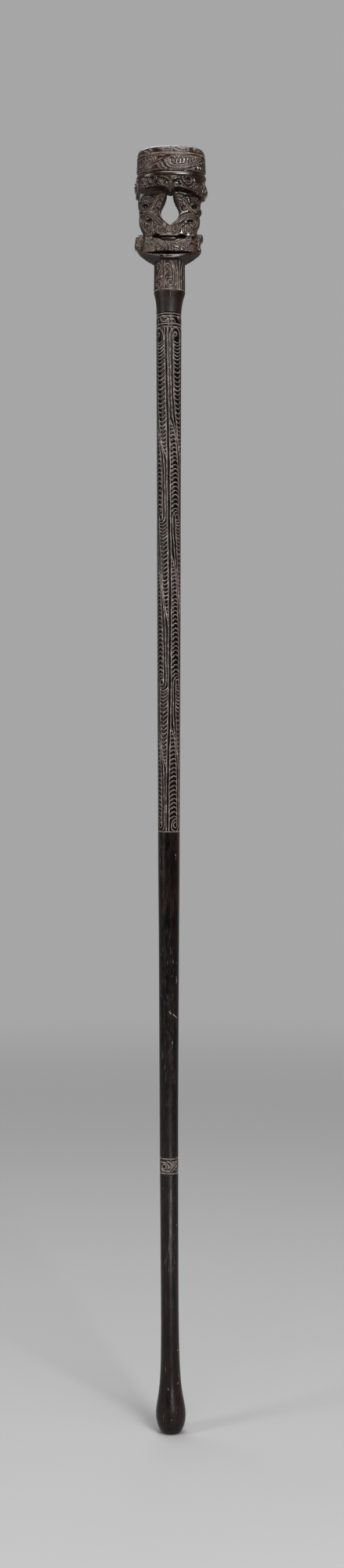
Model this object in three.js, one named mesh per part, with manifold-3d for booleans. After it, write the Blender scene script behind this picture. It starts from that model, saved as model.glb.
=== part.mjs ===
// A hand-carved walking stick: one billet of black ebony with an openwork scroll finial,
// and the lime putty that fills its cut lines. Millimetres, +Z up, origin at the foot tip.
// The front of the stick faces -Y.

import * as THREE from 'three';
import { mergeVertices } from 'three/addons/utils/BufferGeometryUtils.js';
import Module from 'manifold-3d';

const wasm = await Module();
wasm.setup();

// Every form stands on the one below it, so each has its own height and the whole is their sum
const overrun = 2; // how far a cutter passes the face that it cuts
const weldLength = 0.0001; // vertices closer than this are one

// The natural bow of the billet: the axis leans to -X above the foot
const bowReach = 1.73; // how far the axis ends up from the foot
const bowLength = 90; // height over which most of the lean happens

// Knob and foot
const footFlatRadius = 4.5;
const knobRadius = 11;
const knobHeight = 14; // where the knob is widest
const knobFlare = 88; // length of the flare above that, up to the shaft
const knobFlareShares = [0.3, 0.1, 0.6]; // height of the two Bezier handles, and radius of the lower one

// Shaft, with its radii where the plain taper starts and under the neck
const shaftFootRadius = 6.6;
const shaftTopRadius = 9.4;
const shaftSwell = 0.3; // how much fuller than a straight taper the middle is
const taperStart = 58; // above the flare
const plainLength = 282.1; // from the taper's start up to the engraving
const engravedLength = 370.6; // from there up to the neck band
const shaftSides = 24;
const taperFoot = knobHeight + knobFlare + taperStart;
const engravingFoot = taperFoot + plainLength;
const neckBandFoot = engravingFoot + engravedLength;

// Neck, between the neck band and the collar
const neckBandLength = 9.7;
const neckRadius = 9.2;
const neckThroat = 2.6; // from the neck band up to where the neck is thinnest
const neckFlare = 14; // from there up to the collar
const neckHeight = neckBandFoot + neckBandLength + neckThroat;
const collarFoot = neckHeight + neckFlare;

// Collar under the finial
const collarHalfWidth = 11.5;
const collarHalfDepth = 10.4;
const collarLength = 21;
const collarTop = collarFoot + collarLength;

// Lime putty, and the groove that holds it
const limeWidth = 0.7;
const limeDepth = 0.5;
const limeClearance = 0.05; // between lime and wood, on every face
const limeSink = 0.04; // lime lies this far below the wood

// The lime rings of the shaft: a pair round the lower band, one where the engraving ends
// and two pairs round the neck band
const lowerBandRise = 31.7; // above the taper's start
const lowerBandLength = 10.8;
const neckPairGap = 2.1; // between the two rings of a pair
const shaftRings = {
  lime_ring_band_lower: taperFoot + lowerBandRise,
  lime_ring_band_upper: taperFoot + lowerBandRise + lowerBandLength,
  lime_ring_engraving_end: engravingFoot,
  lime_ring_neck_1: neckBandFoot,
  lime_ring_neck_2: neckBandFoot + neckPairGap,
  lime_ring_neck_3: neckBandFoot + neckBandLength - neckPairGap,
  lime_ring_neck_4: neckBandFoot + neckBandLength,
};
const collarRingHeight = collarFoot + limeWidth;

// Finial: its forms stand in from its half width by their own insets, and off the shaft's
// axis by their own shifts in x
const finialHalfWidth = 26; // at the brow

const base = {
  inset: 2.8, // of the boat's tips
  halfDepth: 12.8,
  height: 9, // from the collar up to the tips
  tipPoint: 1.5, // 1 is an ellipse in plan, more is a lens with sharper tips
  sag: 6, // how far the rim dips below the tips
};
const baseHalfWidth = finialHalfWidth - base.inset;
const baseTop = collarTop + base.height;

const panel = {
  drop: 2.8, // how far the panel's foot lies below the boat's tips
  height: 13.8,
  inset: 3.2, // from the boat's tips in to the panel's foot
  batter: 2.5, // how far the panel's sides lean in
  footHalfDepth: 12.8,
  topHalfDepth: 11.2,
  undercut: 1.2, // how far the joint between panel and boat is cut back
};
const panelFoot = baseTop - panel.drop;
const panelTop = panelFoot + panel.height;
const panelFootHalfWidth = baseHalfWidth - panel.inset;
const panelTopHalfWidth = panelFootHalfWidth - panel.batter;

const openwork = {
  shift: 0.3,
  height: 30,
  inset: 2.7,
  barrelShare: 1.08, // plan of the barrel that the scrolls are carved from, for their half width
  footHalfDepth: 10.6,
  topHalfDepth: 10,
};
const openworkHalfWidth = finialHalfWidth - openwork.inset;
const openworkFoot = panelTop - overrun;
const openworkTop = panelTop + openwork.height;

const brow = {
  shift: 1.5,
  overlap: 3, // how far the brow's lowest points hang over the scrolls
  height: 14,
  halfDepth: 16.4,
  lipShare: 0.36, // height of the cove under the brow
  coveShare: 0.25, // how far the cove goes in at the ends, for how far it goes in at the front
};
const browFoot = openworkTop - brow.overlap;
const browTop = browFoot + brow.height;

const windowCut = {
  shift: 0.7,
  sill: 7.2, // from the panel up to the window
  headroom: 5.4, // how far the window cuts up into the brow, behind its keel
  halfWidth: 6.9,
};
const windowFoot = panelTop + windowCut.sill;
const windowTop = openworkTop + windowCut.headroom;

const moulding = { height: 4, inset: 0.1, halfDepth: 16 };
const mouldingTop = browTop + moulding.height;

const drum = {
  shift: 1.7,
  height: 20,
  inset: 0.3, // at the drum's foot
  batter: 0.8, // how far its ends lean in
  depthShare: 0.61, // depth of the drum's plan for its width
  edgeRadius: 3.6,
  crown: 1.3, // height of the dome within the rounded edge
  ringInset: 1, // of the lower lime ring, from the drum's foot
  crownRingInset: 6.6, // of the upper lime ring, from the drum's top
};
const drumTop = mouldingTop + drum.height;
const drumRings = {
  lime_ring_drum_foot: mouldingTop + drum.ringInset,
  lime_ring_drum_crown: drumTop - drum.crownRingInset,
};
const finialSides = 36;

// Scroll eyes ringed with lime: how far across and up the openwork they stand, and their radius
const limeEyes = [
  { name: 'eye_upper', acrossShare: 0.33, riseShare: 0.75, radius: 1.7 },
  { name: 'spiral_inner', acrossShare: 0.235, riseShare: 0.17, radius: 3.6 },
  { name: 'spiral_outer', acrossShare: 0.65, riseShare: 0.13, radius: 2.1 },
];
const eyeSides = 12;

// Sunk eyes of the scrolls and the pockets under them, placed the same way
const sunkEyes = [
  { acrossShare: 0.74, riseShare: 0.69, halfWidth: 1.5, halfHeight: 0.95 },
  { acrossShare: 0.65, riseShare: 0.32, halfWidth: 1.7, halfHeight: 0.95 },
  { acrossShare: 0.37, riseShare: -0.04, halfWidth: 2.5, halfHeight: 1.3 },
];
const sunkDepth = 3.2;
const sunkSides = 10;

// Ears at the ends of the panel: a scroll and a smaller curl under it
const ear = {
  scrollRiseShare: 0.83, // height of the scroll's eye on the panel
  scrollOut: 2.4, // from the panel's edge out to the scroll's eye
  scrollRadius: 3.5,
  curlRiseShare: 0.46,
  curlOut: 4.6,
  curlRadius: 2.1,
  halfDepth: 5.5,
  bevel: 0.9,
  eyeRadius: 1.1,
  eyeDepth: 1,
};

// Lugs at the ends of the brow
const lug = {
  riseShare: 0.6, // height of the lug's middle on the brow
  inset: 3.4, // from the brow's end in to the lug's middle
  halfWidth: 4.3,
  halfHeight: 6,
  halfDepth: 6.5,
  bevel: 1.2,
  lean: 0.5, // how much further the right lug stands out
};
const scrollSides = 20;

const ebony = new THREE.MeshStandardMaterial({ color: 0x1d1512, roughness: 0.42, metalness: 0 });
const lime = new THREE.MeshStandardMaterial({ color: 0xb9a892, roughness: 0.85, metalness: 0 });

// The offset of the bowed axis at a height
function bow(height) {
  return -bowReach * (1 - Math.exp(-height / bowLength));
}

// The corners of elliptic rings; each ring is { z, x, halfWidth, halfDepth }, and may have
// a point (sharper ends in plan) and a sag (how far its front and back dip below its ends)
function ringPoints(rings, sides) {
  const points = [];
  for (const { x, z, halfWidth, halfDepth, point = 1, sag = 0 } of rings) {
    for (let i = 0; i < sides; i++) {
      const turn = (i / sides) * Math.PI * 2;
      const sine = Math.sin(turn);
      const out = Math.sign(sine) * Math.abs(sine) ** point;
      points.push(x + halfWidth * Math.cos(turn), halfDepth * out, z - sag * sine ** 2);
    }
  }
  return points;
}

// A closed body through rings
function loft(rings, sides) {
  const points = ringPoints(rings, sides);
  const faces = [];
  for (let r = 0; r + 1 < rings.length; r++) {
    for (let i = 0; i < sides; i++) {
      const next = (i + 1) % sides;
      const a = r * sides + i;
      const b = r * sides + next;
      faces.push(a, b, b + sides, a, b + sides, a + sides);
    }
  }
  const first = rings[0];
  const last = rings[rings.length - 1];
  const foot = rings.length * sides;
  points.push(first.x, 0, first.z, last.x, 0, last.z);
  for (let i = 0; i < sides; i++) {
    const next = (i + 1) % sides;
    faces.push(foot, next, i);
    faces.push(foot + 1, foot - sides + i, foot - sides + next);
  }
  return geometryOf(points, faces);
}

// A closed hoop: its section's corners are rings too, joined head to tail
function hoop(rings, sides) {
  const points = ringPoints(rings, sides);
  const faces = [];
  for (let r = 0; r < rings.length; r++) {
    const above = (r + 1) % rings.length;
    for (let i = 0; i < sides; i++) {
      const next = (i + 1) % sides;
      const a = r * sides + i;
      const b = r * sides + next;
      const c = above * sides + next;
      const d = above * sides + i;
      faces.push(a, b, c, a, c, d);
    }
  }
  return geometryOf(points, faces);
}

function geometryOf(points, faces) {
  const geometry = new THREE.BufferGeometry();
  geometry.setAttribute('position', new THREE.Float32BufferAttribute(points, 3));
  geometry.setIndex(faces);
  return geometry;
}

function solidOf(geometry) {
  const bare = geometry.index ? geometry : geometry.clone();
  bare.deleteAttribute('normal');
  bare.deleteAttribute('uv');
  const merged = mergeVertices(bare, weldLength);
  return new wasm.Manifold(new wasm.Mesh({
    numProp: 3,
    vertProperties: Float32Array.from(merged.attributes.position.array),
    triVerts: Uint32Array.from(merged.index.array),
  }));
}

function geometryFrom(solid) {
  const mesh = solid.getMesh();
  return geometryOf(Array.from(mesh.vertProperties), Array.from(mesh.triVerts));
}

// A front outline (x, z) pushed through the stick from frontReach to backReach
function slab(shape, frontReach, backReach, options = {}) {
  const geometry = new THREE.ExtrudeGeometry(shape, {
    depth: frontReach + backReach,
    bevelEnabled: false,
    curveSegments: scrollSides,
    ...options,
  });
  geometry.rotateX(Math.PI / 2);
  geometry.translate(0, backReach, 0);
  return geometry;
}

// A slab with rounded rims, as wide and deep as asked with its bevel
function roundedSlab(shape, halfDepth, bevel) {
  return slab(shape, halfDepth - bevel, halfDepth - bevel, {
    bevelEnabled: true,
    bevelSize: bevel,
    bevelThickness: bevel,
    bevelOffset: -bevel,
    bevelSegments: 2,
  });
}

function ellipse(x, z, halfWidth, halfHeight, sides) {
  const shape = new THREE.Shape();
  for (let i = 0; i < sides; i++) {
    const turn = (i / sides) * Math.PI * 2;
    const px = x + halfWidth * Math.cos(turn);
    const pz = z + halfHeight * Math.sin(turn);
    if (i === 0) shape.moveTo(px, pz);
    else shape.lineTo(px, pz);
  }
  shape.closePath();
  return shape;
}

function annulus(x, z, radius, width, sides) {
  const shape = ellipse(x, z, radius + width / 2, radius + width / 2, sides);
  shape.holes.push(ellipse(x, z, radius - width / 2, radius - width / 2, sides));
  return shape;
}

// An outline through points given as shares of a half width and of a span of height
function outline(shares, x, foot, halfWidth, height, steps) {
  const points = shares.map(([a, b]) => new THREE.Vector2(x + a * halfWidth, foot + b * height));
  const curve = new THREE.SplineCurve([...points, points[0]]);
  const shape = new THREE.Shape();
  shape.setFromPoints(curve.getPoints(steps).slice(0, -1));
  return shape;
}

// Knob, shaft, neck and collar: one run of rings, with a groove at every lime ring

function roundRing(z, radius) {
  return { x: 0, z, halfWidth: radius, halfDepth: radius };
}

function shaftRadius(height) {
  const share = (height - taperFoot) / (neckBandFoot - taperFoot);
  const swell = shaftSwell * Math.sin(Math.PI * Math.min(Math.max(share, 0), 1));
  return shaftFootRadius + (shaftTopRadius - shaftFootRadius) * Math.min(share, 1) + swell;
}

function knobRings() {
  const rings = [];
  const arcSteps = 6;
  for (let i = 0; i <= arcSteps; i++) {
    const turn = (i / arcSteps) * Math.PI / 2;
    const radius = footFlatRadius + (knobRadius - footFlatRadius) * Math.sin(turn);
    rings.push(roundRing(knobHeight * (1 - Math.cos(turn)), radius));
  }
  const [upperShare, lowerShare, bellyShare] = knobFlareShares;
  const flare = new THREE.CubicBezierCurve(
    new THREE.Vector2(knobRadius, knobHeight),
    new THREE.Vector2(
      shaftFootRadius + (knobRadius - shaftFootRadius) * bellyShare,
      knobHeight + knobFlare * lowerShare,
    ),
    new THREE.Vector2(shaftFootRadius, knobHeight + knobFlare * upperShare),
    new THREE.Vector2(shaftFootRadius, knobHeight + knobFlare),
  );
  const flareSteps = 8;
  for (const point of flare.getPoints(flareSteps).slice(1)) rings.push(roundRing(point.y, point.x));
  return rings;
}

const shaftWall = (height, inset) => roundRing(height, shaftRadius(height) - inset);

const collarWall = (height, inset) => ({
  x: 0,
  z: height,
  halfWidth: collarHalfWidth - inset,
  halfDepth: collarHalfDepth - inset,
});

// The groove that a lime ring lies in, in a wall(height, inset)
function grooveRings(wall, height) {
  const half = limeWidth / 2 + limeClearance;
  const floor = limeSink + limeDepth + limeClearance;
  return [
    wall(height - half, 0),
    wall(height - half, floor),
    wall(height + half, floor),
    wall(height + half, 0),
  ];
}

// The lime ring in that groove
function limeHoop(wall, height, sides) {
  const half = limeWidth / 2;
  return hoop([
    wall(height - half, limeSink + limeDepth),
    wall(height - half, limeSink),
    wall(height + half, limeSink),
    wall(height + half, limeSink + limeDepth),
  ], sides);
}

function shaftSolid() {
  const ringHeights = Object.values(shaftRings);
  const spanCount = 9;
  const stations = [];
  for (let i = 0; i < spanCount; i++) {
    const height = taperFoot + (neckBandFoot - taperFoot) * (i / spanCount);
    if (ringHeights.every((ring) => Math.abs(ring - height) > limeWidth)) {
      stations.push([height, [shaftWall(height, 0)]]);
    }
  }
  for (const height of ringHeights) stations.push([height, grooveRings(shaftWall, height)]);
  stations.sort((a, b) => a[0] - b[0]);
  const rings = knobRings().concat(...stations.map(([, list]) => list));
  const flareSteps = 5;
  for (let i = 0; i <= flareSteps; i++) {
    const share = i / flareSteps;
    rings.push({
      x: 0,
      z: neckHeight + neckFlare * share,
      halfWidth: neckRadius + (collarHalfWidth - neckRadius) * share ** 2,
      halfDepth: neckRadius + (collarHalfDepth - neckRadius) * share ** 2,
    });
  }
  rings.push(...grooveRings(collarWall, collarRingHeight));
  rings.push(collarWall(collarTop + overrun, 0));
  return solidOf(loft(rings, shaftSides));
}

// Boat-shaped base and panel

function baseSolid() {
  const rings = [];
  const hullSteps = 5;
  for (let i = 0; i <= hullSteps; i++) {
    const share = i / hullSteps;
    rings.push({
      x: 0,
      z: collarTop + base.height * share,
      halfWidth: collarHalfWidth + (baseHalfWidth - collarHalfWidth) * share,
      halfDepth: collarHalfDepth + (base.halfDepth - collarHalfDepth) * Math.sin(share * Math.PI / 2),
      point: 1 + (base.tipPoint - 1) * share,
      sag: base.sag * share,
    });
  }
  const join = solidOf(loft([
    { ...panelWall(collarTop, panel.undercut), halfWidth: collarHalfWidth },
    panelWall(panelFoot + overrun, panel.undercut),
  ], finialSides));
  return solidOf(loft(rings, finialSides)).add(join);
}

function panelWall(z, inset) {
  const share = (z - panelFoot) / panel.height;
  return {
    x: 0,
    z,
    halfWidth: baseHalfWidth - inset,
    halfDepth: panel.footHalfDepth + (panel.topHalfDepth - panel.footHalfDepth) * share - inset,
  };
}

function panelSolid() {
  const shape = new THREE.Shape();
  shape.moveTo(-panelFootHalfWidth, panelFoot);
  shape.lineTo(panelFootHalfWidth, panelFoot);
  shape.lineTo(panelTopHalfWidth, panelTop);
  shape.lineTo(-panelTopHalfWidth, panelTop);
  shape.closePath();
  const reach = panel.footHalfDepth + overrun;
  const block = solidOf(slab(shape, reach, reach));
  const barrel = solidOf(loft([
    panelWall(panelFoot - overrun, 0),
    panelWall(panelTop + overrun, 0),
  ], finialSides));
  return block.intersect(barrel);
}

// Openwork scrolls

const openworkShares = [
  [-0.77, 0.04], [-0.85, 0.2], [-0.95, 0.35], [-0.98, 0.47], [-0.94, 0.57], [-0.94, 0.64], [-1, 0.78],
  [-0.98, 0.9], [-0.9, 1], [0.9, 1], [0.98, 0.87], [1, 0.72], [0.95, 0.58], [0.97, 0.43], [0.94, 0.34],
  [0.87, 0.2], [0.77, 0.04],
];

const windowShares = [
  [0, 0], [-0.5, 0.08], [-0.93, 0.25], [-1, 0.36], [-0.82, 0.52], [-0.5, 0.66], [-0.3, 0.8], [-0.27, 1],
  [0.27, 1], [0.3, 0.8], [0.5, 0.66], [0.82, 0.52], [1, 0.36], [0.93, 0.25], [0.5, 0.08],
];

function openworkBarrel(inset) {
  const halfWidth = openworkHalfWidth * openwork.barrelShare - inset;
  return solidOf(loft([
    { x: openwork.shift, z: openworkFoot, halfWidth, halfDepth: openwork.footHalfDepth - inset },
    { x: openwork.shift, z: openworkTop, halfWidth, halfDepth: openwork.topHalfDepth - inset },
  ], finialSides));
}

function openworkSolid() {
  const height = openworkTop - openworkFoot;
  const shape = outline(openworkShares, openwork.shift, openworkFoot, openworkHalfWidth, height, 46);
  const reach = openwork.footHalfDepth + overrun;
  return solidOf(slab(shape, reach, reach)).intersect(openworkBarrel(0));
}

function windowSolid() {
  const height = windowTop - windowFoot;
  const shape = outline(windowShares, windowCut.shift, windowFoot, windowCut.halfWidth, height, 30);
  return solidOf(slab(shape, openwork.footHalfDepth + overrun, brow.halfDepth + overrun));
}

// Brow with its cove, and the lugs at its ends

const browShares = [
  [-0.9, 0.07], [-0.78, 0.24], [-0.55, 0.35], [-0.2, 0.37], [-0.07, 0.3], [-0.02, 0.14], [0.04, 0.33],
  [0.15, 0.42], [0.5, 0.3], [0.78, 0.07], [0.9, 0], [1.1, 0], [1.1, 1.08], [-1.1, 1.08], [-1.1, 0.07],
];

function browSolid() {
  const points = browShares.map(([a, b]) => new THREE.Vector2(
    brow.shift + a * finialHalfWidth,
    browFoot + b * brow.height,
  ));
  const shape = new THREE.Shape(points);
  const block = solidOf(slab(shape, brow.halfDepth + overrun, brow.halfDepth + overrun));
  const coveDepth = brow.halfDepth - openwork.topHalfDepth;
  const rings = [];
  const coveSteps = 4;
  for (let i = 0; i <= coveSteps; i++) {
    const turn = (i / coveSteps) * Math.PI / 2;
    const inward = coveDepth * Math.cos(turn);
    rings.push({
      x: brow.shift,
      z: browFoot + brow.height * brow.lipShare * Math.sin(turn),
      halfWidth: finialHalfWidth - inward * brow.coveShare,
      halfDepth: brow.halfDepth - inward,
    });
  }
  rings.push({ ...mouldingWall(browTop + overrun), x: brow.shift });
  return block.intersect(solidOf(loft(rings, finialSides)));
}

function lugSolid(side) {
  const across = finialHalfWidth - lug.inset + (side > 0 ? lug.lean : 0);
  const height = browFoot + brow.height * lug.riseShare;
  const shape = ellipse(brow.shift + side * across, height, lug.halfWidth, lug.halfHeight, scrollSides);
  return solidOf(roundedSlab(shape, lug.halfDepth, lug.bevel));
}

// Drum with its moulding and domed top

function mouldingWall(z) {
  return { x: drum.shift, z, halfWidth: finialHalfWidth - moulding.inset, halfDepth: moulding.halfDepth };
}

function drumWall(z, inset) {
  const share = (z - mouldingTop) / drum.height;
  const halfWidth = finialHalfWidth - drum.inset - drum.batter * share;
  return {
    x: drum.shift,
    z,
    halfWidth: halfWidth - inset,
    halfDepth: halfWidth * drum.depthShare - inset,
  };
}

function drumSolid() {
  const rings = [
    mouldingWall(browTop - overrun),
    mouldingWall(mouldingTop - limeWidth),
    drumWall(mouldingTop, 0),
  ];
  for (const height of Object.values(drumRings)) rings.push(...grooveRings(drumWall, height));
  const edgeTop = drumTop - drum.crown;
  const edgeSteps = 4;
  for (let i = 0; i <= edgeSteps; i++) {
    const turn = (i / edgeSteps) * Math.PI / 2;
    rings.push(drumWall(edgeTop - drum.edgeRadius * (1 - Math.sin(turn)), drum.edgeRadius * (1 - Math.cos(turn))));
  }
  const rim = rings[rings.length - 1];
  const crownSteps = 3;
  for (let i = 1; i < crownSteps; i++) {
    const share = i / crownSteps;
    rings.push({
      x: drum.shift,
      z: edgeTop + drum.crown * (1 - (1 - share) ** 2),
      halfWidth: rim.halfWidth * (1 - share),
      halfDepth: rim.halfDepth * (1 - share),
    });
  }
  rings.push({ x: drum.shift, z: drumTop, halfWidth: overrun / 4, halfDepth: overrun / 4 });
  return solidOf(loft(rings, finialSides));
}

// Ears: each scroll and its curl, on a web that joins panel and boat

function earSolid(side) {
  const panelEdge = (share) => panelFootHalfWidth - panel.batter * share;
  const scroll = {
    x: side * (panelEdge(ear.scrollRiseShare) + ear.scrollOut),
    z: panelFoot + panel.height * ear.scrollRiseShare,
  };
  const curl = {
    x: side * (panelEdge(ear.curlRiseShare) + ear.curlOut),
    z: panelFoot + panel.height * ear.curlRiseShare,
  };
  const web = new THREE.Shape();
  web.moveTo(side * (panelTopHalfWidth - overrun), panelTop - overrun);
  web.lineTo(side * (panelFootHalfWidth - overrun), panelFoot);
  web.lineTo(side * (baseHalfWidth - overrun), baseTop - overrun);
  web.lineTo(curl.x, curl.z);
  web.lineTo(scroll.x, scroll.z + ear.scrollRadius / 2);
  web.closePath();
  let solid = solidOf(slab(web, ear.halfDepth - ear.bevel, ear.halfDepth - ear.bevel));
  for (const [spot, radius] of [[scroll, ear.scrollRadius], [curl, ear.curlRadius]]) {
    const disc = ellipse(spot.x, spot.z, radius, radius, scrollSides);
    solid = solid.add(solidOf(roundedSlab(disc, ear.halfDepth, ear.bevel)));
  }
  const eye = ellipse(scroll.x, scroll.z, ear.eyeRadius, ear.eyeRadius, sunkSides);
  const outside = ear.halfDepth + overrun;
  const floor = ear.halfDepth - ear.eyeDepth;
  return solid
    .subtract(solidOf(slab(eye, outside, -floor)))
    .subtract(solidOf(slab(eye, -floor, outside)));
}

// Lime rings round the scroll eyes, each cut to the barrel's surface on the front or the back

function eyePlace(eye, side) {
  return {
    x: openwork.shift + side * eye.acrossShare * openworkHalfWidth,
    z: panelTop + eye.riseShare * openwork.height,
  };
}

function faceSlab(shape, face) {
  const reach = openwork.footHalfDepth + overrun;
  return face === 'front' ? slab(shape, reach, 0) : slab(shape, 0, reach);
}

const limeOuter = openworkBarrel(limeSink);
const limeInner = openworkBarrel(limeSink + limeDepth);
const limeShell = limeOuter.subtract(limeInner);
const grooveShell = openworkBarrel(-overrun).subtract(openworkBarrel(limeSink + limeDepth + limeClearance));

function eyePieces() {
  const pieces = [];
  for (const face of ['front', 'back']) {
    for (const side of [-1, 1]) {
      for (const eye of limeEyes) {
        const { x, z } = eyePlace(eye, side);
        const ring = annulus(x, z, eye.radius, limeWidth, eyeSides);
        const groove = annulus(x, z, eye.radius, limeWidth + 2 * limeClearance, eyeSides);
        pieces.push({
          name: `lime_${eye.name}_${face}_${side < 0 ? 'left' : 'right'}`,
          lime: solidOf(faceSlab(ring, face)).intersect(limeShell),
          groove: solidOf(faceSlab(groove, face)).intersect(grooveShell),
        });
      }
    }
  }
  return pieces;
}

function sunkSolids() {
  const cutters = [];
  for (const side of [-1, 1]) {
    for (const hole of sunkEyes) {
      const { x, z } = eyePlace(hole, side);
      const shape = ellipse(x, z, hole.halfWidth, hole.halfHeight, sunkSides);
      const depthShare = Math.sqrt(1 - (hole.acrossShare / openwork.barrelShare) ** 2);
      const floor = openwork.topHalfDepth * depthShare - sunkDepth;
      const reach = openwork.footHalfDepth + overrun;
      cutters.push(solidOf(slab(shape, reach, -floor)));
      cutters.push(solidOf(slab(shape, -floor, reach)));
    }
  }
  return cutters;
}

// Assembly

const eyes = eyePieces();

let wood = shaftSolid()
  .add(baseSolid())
  .add(panelSolid())
  .add(openworkSolid())
  .add(earSolid(-1))
  .add(earSolid(1))
  .add(browSolid())
  .add(lugSolid(-1))
  .add(lugSolid(1))
  .add(drumSolid())
  .subtract(windowSolid());
for (const cutter of sunkSolids()) wood = wood.subtract(cutter);
for (const eye of eyes) wood = wood.subtract(eye.groove);

// Every piece follows the bow of the billet
function bowed(geometry) {
  const position = geometry.attributes.position;
  for (let i = 0; i < position.count; i++) position.setX(i, position.getX(i) + bow(position.getZ(i)));
  geometry.computeVertexNormals();
  return geometry;
}

const group = new THREE.Group();

function place(name, geometry, material) {
  const mesh = new THREE.Mesh(bowed(geometry), material);
  mesh.name = name;
  group.add(mesh);
}

place('ebony_stick', geometryFrom(wood), ebony);
for (const [name, height] of Object.entries(shaftRings)) {
  place(name, limeHoop(shaftWall, height, shaftSides), lime);
}
place('lime_ring_collar', limeHoop(collarWall, collarRingHeight, shaftSides), lime);
for (const [name, height] of Object.entries(drumRings)) {
  place(name, limeHoop(drumWall, height, finialSides), lime);
}
for (const eye of eyes) place(eye.name, geometryFrom(eye.lime), lime);

export default group;
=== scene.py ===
import math
from functools import partial
import bpy
import numpy as np
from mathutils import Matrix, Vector


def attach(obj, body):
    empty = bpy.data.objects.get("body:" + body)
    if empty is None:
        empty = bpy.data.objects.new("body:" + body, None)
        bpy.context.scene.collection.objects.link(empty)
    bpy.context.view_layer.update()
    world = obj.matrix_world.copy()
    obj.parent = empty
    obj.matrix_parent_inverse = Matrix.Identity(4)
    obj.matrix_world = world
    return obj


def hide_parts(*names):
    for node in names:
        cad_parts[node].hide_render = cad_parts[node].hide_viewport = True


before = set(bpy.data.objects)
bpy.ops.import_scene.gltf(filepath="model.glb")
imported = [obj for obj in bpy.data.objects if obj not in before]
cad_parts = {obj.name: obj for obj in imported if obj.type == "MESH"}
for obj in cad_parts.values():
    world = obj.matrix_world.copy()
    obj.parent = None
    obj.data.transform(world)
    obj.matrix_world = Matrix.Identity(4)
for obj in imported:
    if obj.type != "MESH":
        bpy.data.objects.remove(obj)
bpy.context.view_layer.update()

mm = 0.001
rng = np.random.default_rng(7)

# The camera stands at the photograph's height and distance; the drawings below are laid out
# on its sheet, 439 units across and 2000 down, and are carried along its lines of sight
view = {"eyeX": 0.58, "eyeY": -1415.0, "eyeZ": 477.6, "unit": 0.5777, "midX": 219.5, "midY": 1000.0,
        "lens": 44.1}

# The billet's natural bow, as in the CAD
billet = {"bowReach": 1.73, "bowLength": 90.0}


def lean(z):
    # x of the bowed axis: -reach (1 - e^(-z / length))
    return -billet["bowReach"] * (1 - np.exp(-z / billet["bowLength"]))


def listed(text):
    # a table of places or measures: commas inside each entry, blanks between them
    return [tuple(map(float, entry.split(","))) for entry in text.split()]


def drawn(text):
    # a drawing, its lines parted by semicolons: the x,y places that a smooth curve joins, or an
    # arc's middle, radii and ends
    text = " ".join(row.split("#")[0] for row in text.splitlines())
    lines = [line.strip() for line in text.split(";")]
    return [arc(*map(float, line[4:].split())) if line.startswith("arc") else stroke(listed(line))
            for line in lines if line]


def smoothThrough(knots, x):
    # cubic Hermite curve through (place, value) knots, each slope from its neighbours
    place, value = np.array(sorted(knots), float).T
    slope = np.gradient(value, place)
    i = np.clip(np.searchsorted(place, x) - 1, 0, len(place) - 2)
    span = place[i + 1] - place[i]
    t = np.clip((x - place[i]) / span, 0, 1)
    start = (1 + 2 * t) * (1 - t) ** 2 * value[i] + t * (1 - t) ** 2 * span * slope[i]
    return start + t * t * (3 - 2 * t) * value[i + 1] + t * t * (t - 1) * span * slope[i + 1]


def stroke(knots, closed=False, count=10):
    # Catmull-Rom curve: p = a + (b - z)t/2 + (2z - 5a + 4b - c)t^2/2 + (3a - z - 3b + c)t^3/2
    p = np.array(knots, float)
    if closed:
        z, a, b, c = np.roll(p, 1, 0), p, np.roll(p, -1, 0), np.roll(p, -2, 0)
    else:
        long = np.vstack([2 * p[0] - p[1], p, 2 * p[-1] - p[-2]])
        z, a, b, c = long[:-3], long[1:-2], long[2:-1], long[3:]
    t = (np.arange(count) / count)[None, :, None]
    z, a, b, c = (q[:, None, :] for q in (z, a, b, c))
    curve = (a + (b - z) * t / 2 + (2 * z - 5 * a + 4 * b - c) * t ** 2 / 2
             + (3 * a - z - 3 * b + c) * t ** 3 / 2)
    return np.vstack([curve.reshape(-1, p.shape[1]), p[:1] if closed else p[-1:]])


def arc(x, y, rx, ry=None, start=0, end=360):
    # an elliptic arc round (x, y), from start to end in degrees
    turn = np.radians(np.linspace(start, end, 25))
    return np.column_stack([x + rx * np.cos(turn), y + (ry or rx) * np.sin(turn)])


def evenly(path, step, measured=3):
    # the same path with its points one step apart, measured in its first columns
    length = np.concatenate([[0], np.cumsum(np.linalg.norm(np.diff(path[:, :measured], axis=0), axis=1))])
    spot = np.linspace(0, length[-1], max(2, int(length[-1] / step) + 1))
    return np.column_stack([np.interp(spot, length, column) for column in path.T])


def sighted(line, sheet, depthAt):
    # a line of a drawing carried to a face: k = unit (1 - depth / distance), x = eyeX + (u - midX) k,
    # z = eyeZ + (midY - v) k, worked out again until the depth agrees with the face there
    u = sheet["left"] + line[:, 0] / sheet["scale"]
    v = sheet["top"] + line[:, 1] / sheet["scale"]
    depth = np.full(len(u), 8.0)
    for _ in range(6):
        k = view["unit"] * (1 + depth / view["eyeY"])
        x = view["eyeX"] + (u - view["midX"]) * k
        z = view["eyeZ"] + (view["midY"] - v) * k
        depth = 0.5 * (depth + depthAt(x, z))
    return np.column_stack([x, z])


# Materials

def hexColour(code):
    # an sRGB hex value turned to linear
    channel = np.array([int(code[i:i + 2], 16) / 255 for i in (1, 3, 5)])
    linear = np.where(channel <= 0.04045, channel / 12.92, ((channel + 0.055) / 1.055) ** 2.4)
    return (*linear, 1.0)


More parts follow.
